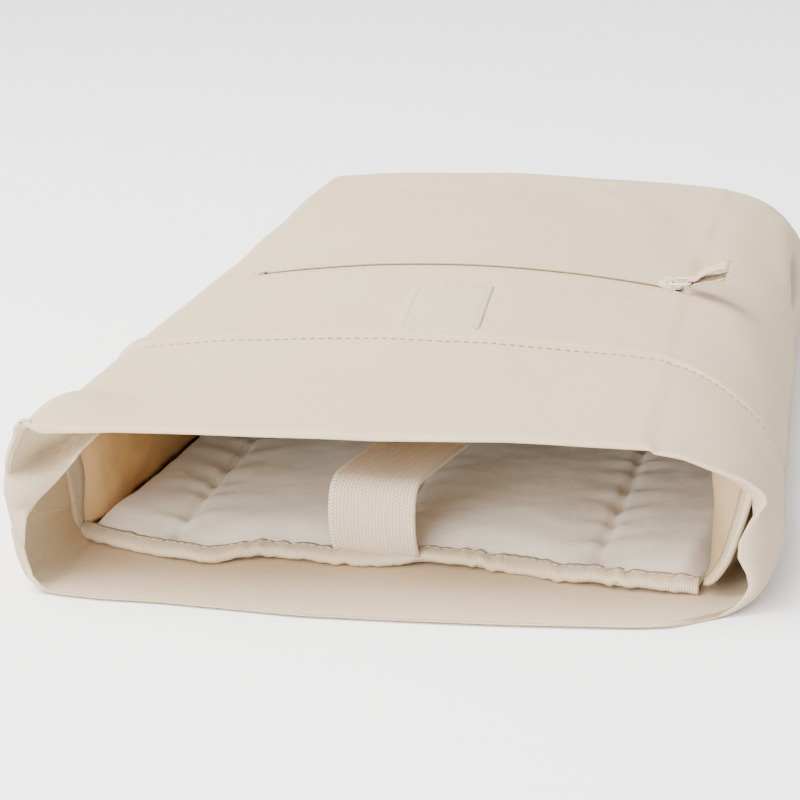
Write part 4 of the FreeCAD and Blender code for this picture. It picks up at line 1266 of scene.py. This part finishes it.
def build_divider():
    """The padded wall over the laptop's place, and the tape over its near edge."""
    us = spaced(0.0, 1.0, 1 / 110)
    vs = [0.0, 0.004, 0.01, 0.018, 0.03, *spaced(0.045, 0.96, 0.012), 0.97, 0.98, 0.99, 1.0]

    def shape(u, v):
        s = DIVIDER_S + 1.5 + (PAD_END - DIVIDER_S - 2.5) * v
        left, right = sleeve_left(s) + 1.0, sleeve_right(s) - 5.0
        x = left + (right - left) * u
        rim = min(min(u, 1 - u) * (right - left), v * 300.0 + 2.0, (1 - v) * 300.0)
        half = (DIVIDER_HIGH - DIVIDER_LOW) / 2 * (0.3 + 0.7 * smooth(rim / 8.0))
        seam = min(abs(x - q) for q in QUILT_LINES)
        half *= 1 - 0.6 * bell(seam, 3.0)
        middle = (DIVIDER_LOW + DIVIDER_HIGH) / 2 + divider_sway(x, s)
        return x, s, middle - half, middle + half

    divider = pillow("divider_pad", us, vs, shape)
    scale_uvs(divider, 0.26, 0.32)
    finish_piece(divider, NYLON_LOOK, "bag", "nylon_lining", "divider_foam", "divider_lining_upper",
                 "divider_lining_lower")

    def spot(x, step):
        back, height = step
        s = DIVIDER_S + back - 0.5 + 0.5 * wave(x, back, 15.0, 3.1)
        return place(x, s, DIVIDER_LOW + height + divider_sway(x, DIVIDER_S + 2.0))

    profile = ((11.0, 6.1), (6.0, 6.3), (2.0, 5.9), (0.4, 4.6), (0.0, 3.0))  # (way back, height)
    profile += ((0.4, 1.4), (2.0, 0.1), (6.0, -0.3), (11.0, -0.1))
    left, right = sleeve_left(DIVIDER_S) + 0.8, sleeve_right(DIVIDER_S) - 4.8
    xs, vs = spaced(left, right, 2.0), lengths_along(profile)
    binding = grid("divider_edge_binding", sheet_rows(xs[::-1], profile, spot), xs, vs, thick=0.7)
    finish_piece(binding, BINDING_LOOK, "bag", "binding_tape", "divider_binding")


# how the side walls turn out at their near end: depth and spread at the foot, depth and spread at the top
WALL_NEAR = {-1: (59.0, 5.5, 49.0, 6.0), 1: (14.0, 2.0, 1.5, 19.0)}
WALL_TURN = {-1: 24.0, 1: 30.0}


def wall_point(side, back, z, low, high):
    """A point of a side wall, a distance back from its near edge."""
    foot_s, foot_out, top_s, top_out = WALL_NEAR[side]
    rise = (max(z - low, 0.0) / (high - low)) ** (0.6 if side > 0 else 1.0)
    near = foot_s + (top_s - foot_s) * rise
    s = near + back
    inner = (sleeve_left if side < 0 else sleeve_right)(s)
    turned = 1 - smooth(back / WALL_TURN[side])
    spread = (foot_out + (top_out - foot_out) * rise) * turned
    spread += 3.0 * rise * (1 - smooth((s - 20.0) / 200.0)) * (side > 0)
    crumple = wave(s, z * 1.4, 21.0, 5.0 + side) * 1.5 * smooth(back / 14.0)
    return inner + side * (0.4 + spread) + crumple, s


def wall_raise(side, back, rise):
    """How far the wall's top edge stands above or below its height further in."""
    if side < 0:
        return -4.0 * rise * smooth(back / 50.0)
    near = 5.0 * (1 - smooth(back / 70.0)) + 4.5 * smooth(back / 22.0) * (1 - smooth((back - 60.0) / 80.0))
    return near * rise**2 - 4.0 * rise * smooth((back - 90.0) / 60.0)


def build_wall(side):
    """A side wall of the sleeve; its near end turns out towards the bag and is bound.
    """
    name = "left" if side < 0 else "right"
    low, high = (corner[2] for corner in box_mm(f"sleeve_wall_{name}"))
    low, high = low - 4.0, high + (4.0 if side > 0 else 8.0)
    deep = PAD_END - WALL_NEAR[side][0]

    def wall_spot(back, z):
        x, s = wall_point(side, back, z, low, high)
        return place(x, min(s, PAD_END - 0.5), z + wall_raise(side, back, (z - low) / (high - low)))

    backs, zs = [*spaced(0.0, 60.0, 1.5), *spaced(64.0, deep, 4.0)], spaced(low, high, 1.5)
    rows = sheet_rows(backs, zs, wall_spot)
    wall = grid(f"sleeve_side_{name}", rows, backs, zs, flip=side > 0, thick=0.7, offset=0.0)
    # the right wall takes the darker copy of the lining: painted shade
    look = LINING_LOOK if side < 0 else SHADY_LOOK
    press(finish_piece(wall, look, None, "nylon_lining", f"sleeve_wall_{name}"))

    def tape_spot(z, step):
        back, out = step
        rise = (z - low) / (high - low)
        wide = 0.6 + 0.7 * math.sin(math.pi * smooth(rise)) if side < 0 else 1.0
        x, s = wall_point(side, max(back * wide, 0.0), z, low, high)
        after, s_after = wall_point(side, max(back * wide, 0.0) + 1.0, z, low, high)
        puff = side * out * (1 + 0.3 * wave(z, back, 7.0, 7.0)) / math.hypot(after - x, s_after - s)
        s_out = s + min(back, 0.0) + (after - x) * puff
        return place(x - (s_after - s) * puff, s_out, z + wall_raise(side, 0.0, rise))

    # (way back, way out from the wall)
    outer = ((8.0, 0.9), (5.0, 1.0), (2.0, 1.0), (0.3, 0.9))
    profile = (*outer, (-0.5, 0.0), *((back, -out) for back, out in reversed(outer)))
    zs, vs = spaced(low + 0.5, high + 0.8, 1.2), lengths_along(profile)
    rows = sheet_rows(zs, profile, tape_spot)
    tape = grid(f"side_edge_binding_{name}", rows, zs, vs, flip=side < 0, thick=0.5)
    press(finish_piece(tape, TAPE_LOOK, None, "binding_tape", f"wall_binding_{name}"))
    spots = []
    for z in spaced(low + 3.0, high - 2.0, 2.0):
        x, s = wall_point(side, 4.0, z, low, high)
        spots.append(((x - side * 1.1, s - 0.6, z), (-side * 0.7, -0.7, 0)))
    pairs = along_line(spots, 2.0, 6.0)
    press(stitch_mesh(f"side_stitches_{name}", pairs, 0.3, PAINTED_SHADE_THREAD_LOOK, None, "binding_tape"))


def build_end_wall():
    """The wall across the sleeve's closed end."""
    low, high = box_mm("sleeve_wall_end")
    xs, zs = spaced(low[0], high[0], 4.0), spaced(low[2], high[2], 3.0)
    s = low[1] - LIP_Y
    rows = sheet_rows(xs, zs, lambda x, z: place(x, s + 0.9 * wave(x, z, 40.0, 1.0), z))
    wall = grid("sleeve_end", rows, xs, zs, thick=0.7, offset=0.0)
    finish_piece(wall, NYLON_LOOK, "bag", "nylon_lining", "sleeve_wall_end")


# ---------------- the strap
STRAP_X, STRAP_S, STRAP_TURN = -14.0, 37.0, -11.0  # where it leaves the pad's edge, and its turn in degrees
STRAP_WIDE, STRAP_THICK = 38.0, 1.6
STRAP_FLAT = box_mm("strap")[1][2] - STRAP_THICK / 2
STRAP_SEAT = box_mm("strap_free_end")[1][2] - STRAP_THICK / 2
STRAP_JOINT, STRAP_TIP = 95.0, 172.0  # depths where the tip starts to peel, and where it ends


def strap_point(across, s, z):
    """A point in the strap's own turned frame."""
    turn = Matrix.Rotation(math.radians(STRAP_TURN), 4, "Z")
    spot = turn @ Vector((across, s - STRAP_S, 0.0))
    return place(STRAP_X + spot.x, STRAP_S + spot.y, z)


def strap_route():
    """The strap's middle line as (depth, height): under the binding, up, over and back to its tip."""
    seat = EDGE_HIGH + 1.0
    foot = ((5.0, -1.8), (3.0, -1.5), (1.4, -0.6), (0.2, 1.2), (-0.9, 5.0), (-1.7, 11.0), (-1.4, 17.5))
    route = [(STRAP_S + back, seat + rise) for back, rise in foot]
    bend = 9.0
    for angle in spaced(170.0, 95.0, 9.0):
        a = math.radians(angle)
        route.append((STRAP_S - 0.4 + bend + bend * math.cos(a), STRAP_FLAT - bend + bend * math.sin(a)))
    for s in spaced(STRAP_S + bend + 4.0, STRAP_JOINT, 4.0):
        route.append((s, STRAP_FLAT + 0.3 * math.sin((s - STRAP_S) / 15.0)))
    for s in spaced(STRAP_JOINT + 4.0, STRAP_TIP, 4.0):
        route.append((s, STRAP_FLAT + (STRAP_SEAT - STRAP_FLAT) * smooth((s - STRAP_JOINT) / 26.0)))
    return route


def build_strap():
    """The webbing strap. Its tip, past the joint, peels off the loop patch."""
    route, half = strap_route(), STRAP_WIDE / 2
    lengths = lengths_along(route)
    across_strap = spaced(-half, half, STRAP_WIDE / 20)
    profile = [(across, STRAP_THICK / 2) for across in across_strap] + [(half + 0.35, 0.0)]
    profile += [(-across, -STRAP_THICK / 2) for across in across_strap] + [(-half - 0.35, 0.0)]
    rows = []
    for k, (s, z) in enumerate(route):
        before, after = route[max(k - 1, 0)], route[min(k + 1, len(route) - 1)]
        size = math.dist(before, after)
        ds, dz = (after[0] - before[0]) / size, (after[1] - before[1]) / size
        lean = 0.7 * wave(0.0, lengths[k], 30.0, 8.0)
        row = []
        for across, height in profile:
            cup = 0.5 * (across / half) ** 2 * smooth(lengths[k] / 30.0)
            lift = height + cup + 0.35 * wave(across, lengths[k], 22.0, 4.0)
            row.append(strap_point(across + lean, s - dz * lift, z + ds * lift))
        rows.append(row[::-1])
    girth = lengths_along(profile + profile[:1])
    strap = grid("webbing_strap", rows, [-g for g in girth], lengths, closed=True)
    shaped = bmesh.new()
    shaped.from_mesh(strap.data)
    bmesh.ops.holes_fill(shaped, edges=[e for e in shaped.edges if e.is_boundary])
    bmesh.ops.recalc_face_normals(shaped, faces=shaped.faces)
    shaped.to_mesh(strap.data)
    shaped.free()
    finish_piece(strap, WEBBING_LOOK, None, "webbing", "strap", "strap_free_end")
    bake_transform(strap)


def build_patches():
    """The hook patch under the strap's tip and the loop patch on the divider."""
    wide = STRAP_WIDE / 2 - 3.0
    for name, body, node, near, far, under in (
        ("hook_patch", "strap_end", "strap_hook_patch", STRAP_TIP - 45.0, STRAP_TIP - 3.0, "webbing_strap"),
        ("loop_patch", "bag", "divider_loop_patch", STRAP_TIP - 46.0, STRAP_TIP + 8.0, "divider_pad"),
    ):
        low, high = (corner[2] for corner in box_mm(node))

        def spot(x, s):
            rim = min(x + wide, wide - x, s - near, far - s)
            pile = 0.18 * wave(x, s, 1.1, 3.0) * smooth(rim)
            return strap_point(x, s, high - 0.1 + pile - 0.25 * (1 - smooth(rim / 1.5)))

        xs, ss = spaced(-wide, wide, 1.2), spaced(near, far, 1.2)
        patch = grid(name, sheet_rows(xs, ss, spot), xs, ss, thick=high - low - 0.15)
        finish_piece(patch, HOOK_LOOK, body, "hook_and_loop", node)


# ---------------- stage, light and camera
SKY_LIGHT = 1.33
LIGHT_COLOR = (1.0, 0.98, 0.95)
LIGHTS = (  # name, place and aim in metres, size, power
    ("key", (-0.9, -0.3, 1.7), (0, 0, 0.05), 1.6, 140.0),
    ("front", (-0.5, -1.9, 0.7), (0, -0.1, 0.04), 1.4, 70.0),
)
CAMERA_AT = (255.0, -1088.0, 415.0)  # in millimetres, from the front lip
CAMERA_YAW, CAMERA_PITCH, CAMERA_ROLL = 12.8, 16.5, -2.8  # in degrees
CAMERA_LENS, CAMERA_SENSOR = 135.0, 36.0


def build_stage():
    """A plain pale floor and soft light from all round."""
    floor = mesh("floor", [(-6, -6, 0), (6, -6, 0), (6, 6, 0), (-6, 6, 0)], [(0, 1, 2, 3)])
    r = Recipe("pale_floor")
    grain = r.noise(r.object, 3.0, 2.0)
    color = r.mix(grain, (0.90, 0.90, 0.90), (0.93, 0.93, 0.93))
    floor.data.materials.append(r.finish(color, grain, 0.1, rough=0.9))
    world = bpy.data.worlds.new("studio")
    bpy.context.scene.world = world
    world.use_nodes = True
    background = world.node_tree.nodes["Background"]
    background.inputs["Color"].default_value = (1.0, 1.0, 1.0, 1.0)
    background.inputs["Strength"].default_value = SKY_LIGHT


def area_light(name, at, towards, size, power):
    """A soft square light, turned towards a place."""
    data = bpy.data.lights.new(name, "AREA")
    data.size, data.energy, data.color = size, power, LIGHT_COLOR
    light = bpy.data.objects.new(name, data)
    bpy.context.scene.collection.objects.link(light)
    light.location = at
    light.rotation_euler = (Vector(towards) - Vector(at)).to_track_quat("-Z", "Y").to_euler()


def build_camera():
    """The view: a long lens, a little to the right of the mouth and above it."""
    yaw, pitch, roll = (math.radians(turn) for turn in (CAMERA_YAW, CAMERA_PITCH, CAMERA_ROLL))
    ahead = Vector((-math.sin(yaw) * math.cos(pitch), math.cos(yaw) * math.cos(pitch), -math.sin(pitch)))
    level = Vector((math.cos(yaw), math.sin(yaw), 0.0))
    upright = level.cross(ahead)
    right = math.cos(roll) * level + math.sin(roll) * upright
    up = -math.sin(roll) * level + math.cos(roll) * upright
    data = bpy.data.cameras.new("view")
    data.lens, data.sensor_width = CAMERA_LENS, CAMERA_SENSOR
    camera = bpy.data.objects.new("view", data)
    bpy.context.scene.collection.objects.link(camera)
    turn = Matrix((right, up, -ahead)).transposed().to_4x4()
    camera.matrix_world = Matrix.Translation(place(*CAMERA_AT)) @ turn
    bpy.context.scene.camera = camera


def main():
    """Builds every piece round the frame."""
    build_camera()
    build_stage()
    for light in LIGHTS:
        area_light(*light)
    press(build_shell())
    build_hem_stitches()
    build_zip_stitches()
    build_label()
    build_zip_tapes()
    build_coils()
    build_tacks()
    build_tab()
    build_pocket()
    build_pad()
    build_pad_binding()
    build_divider()
    for side in (-1, 1):
        build_wall(side)
    build_end_wall()
    build_strap()
    build_patches()
    for name in ("zip_slider", "zip_pull_ring"):
        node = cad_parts[name]
        node.data.materials.clear()
        node.data.materials.append(ENAMEL_LOOK)


main()
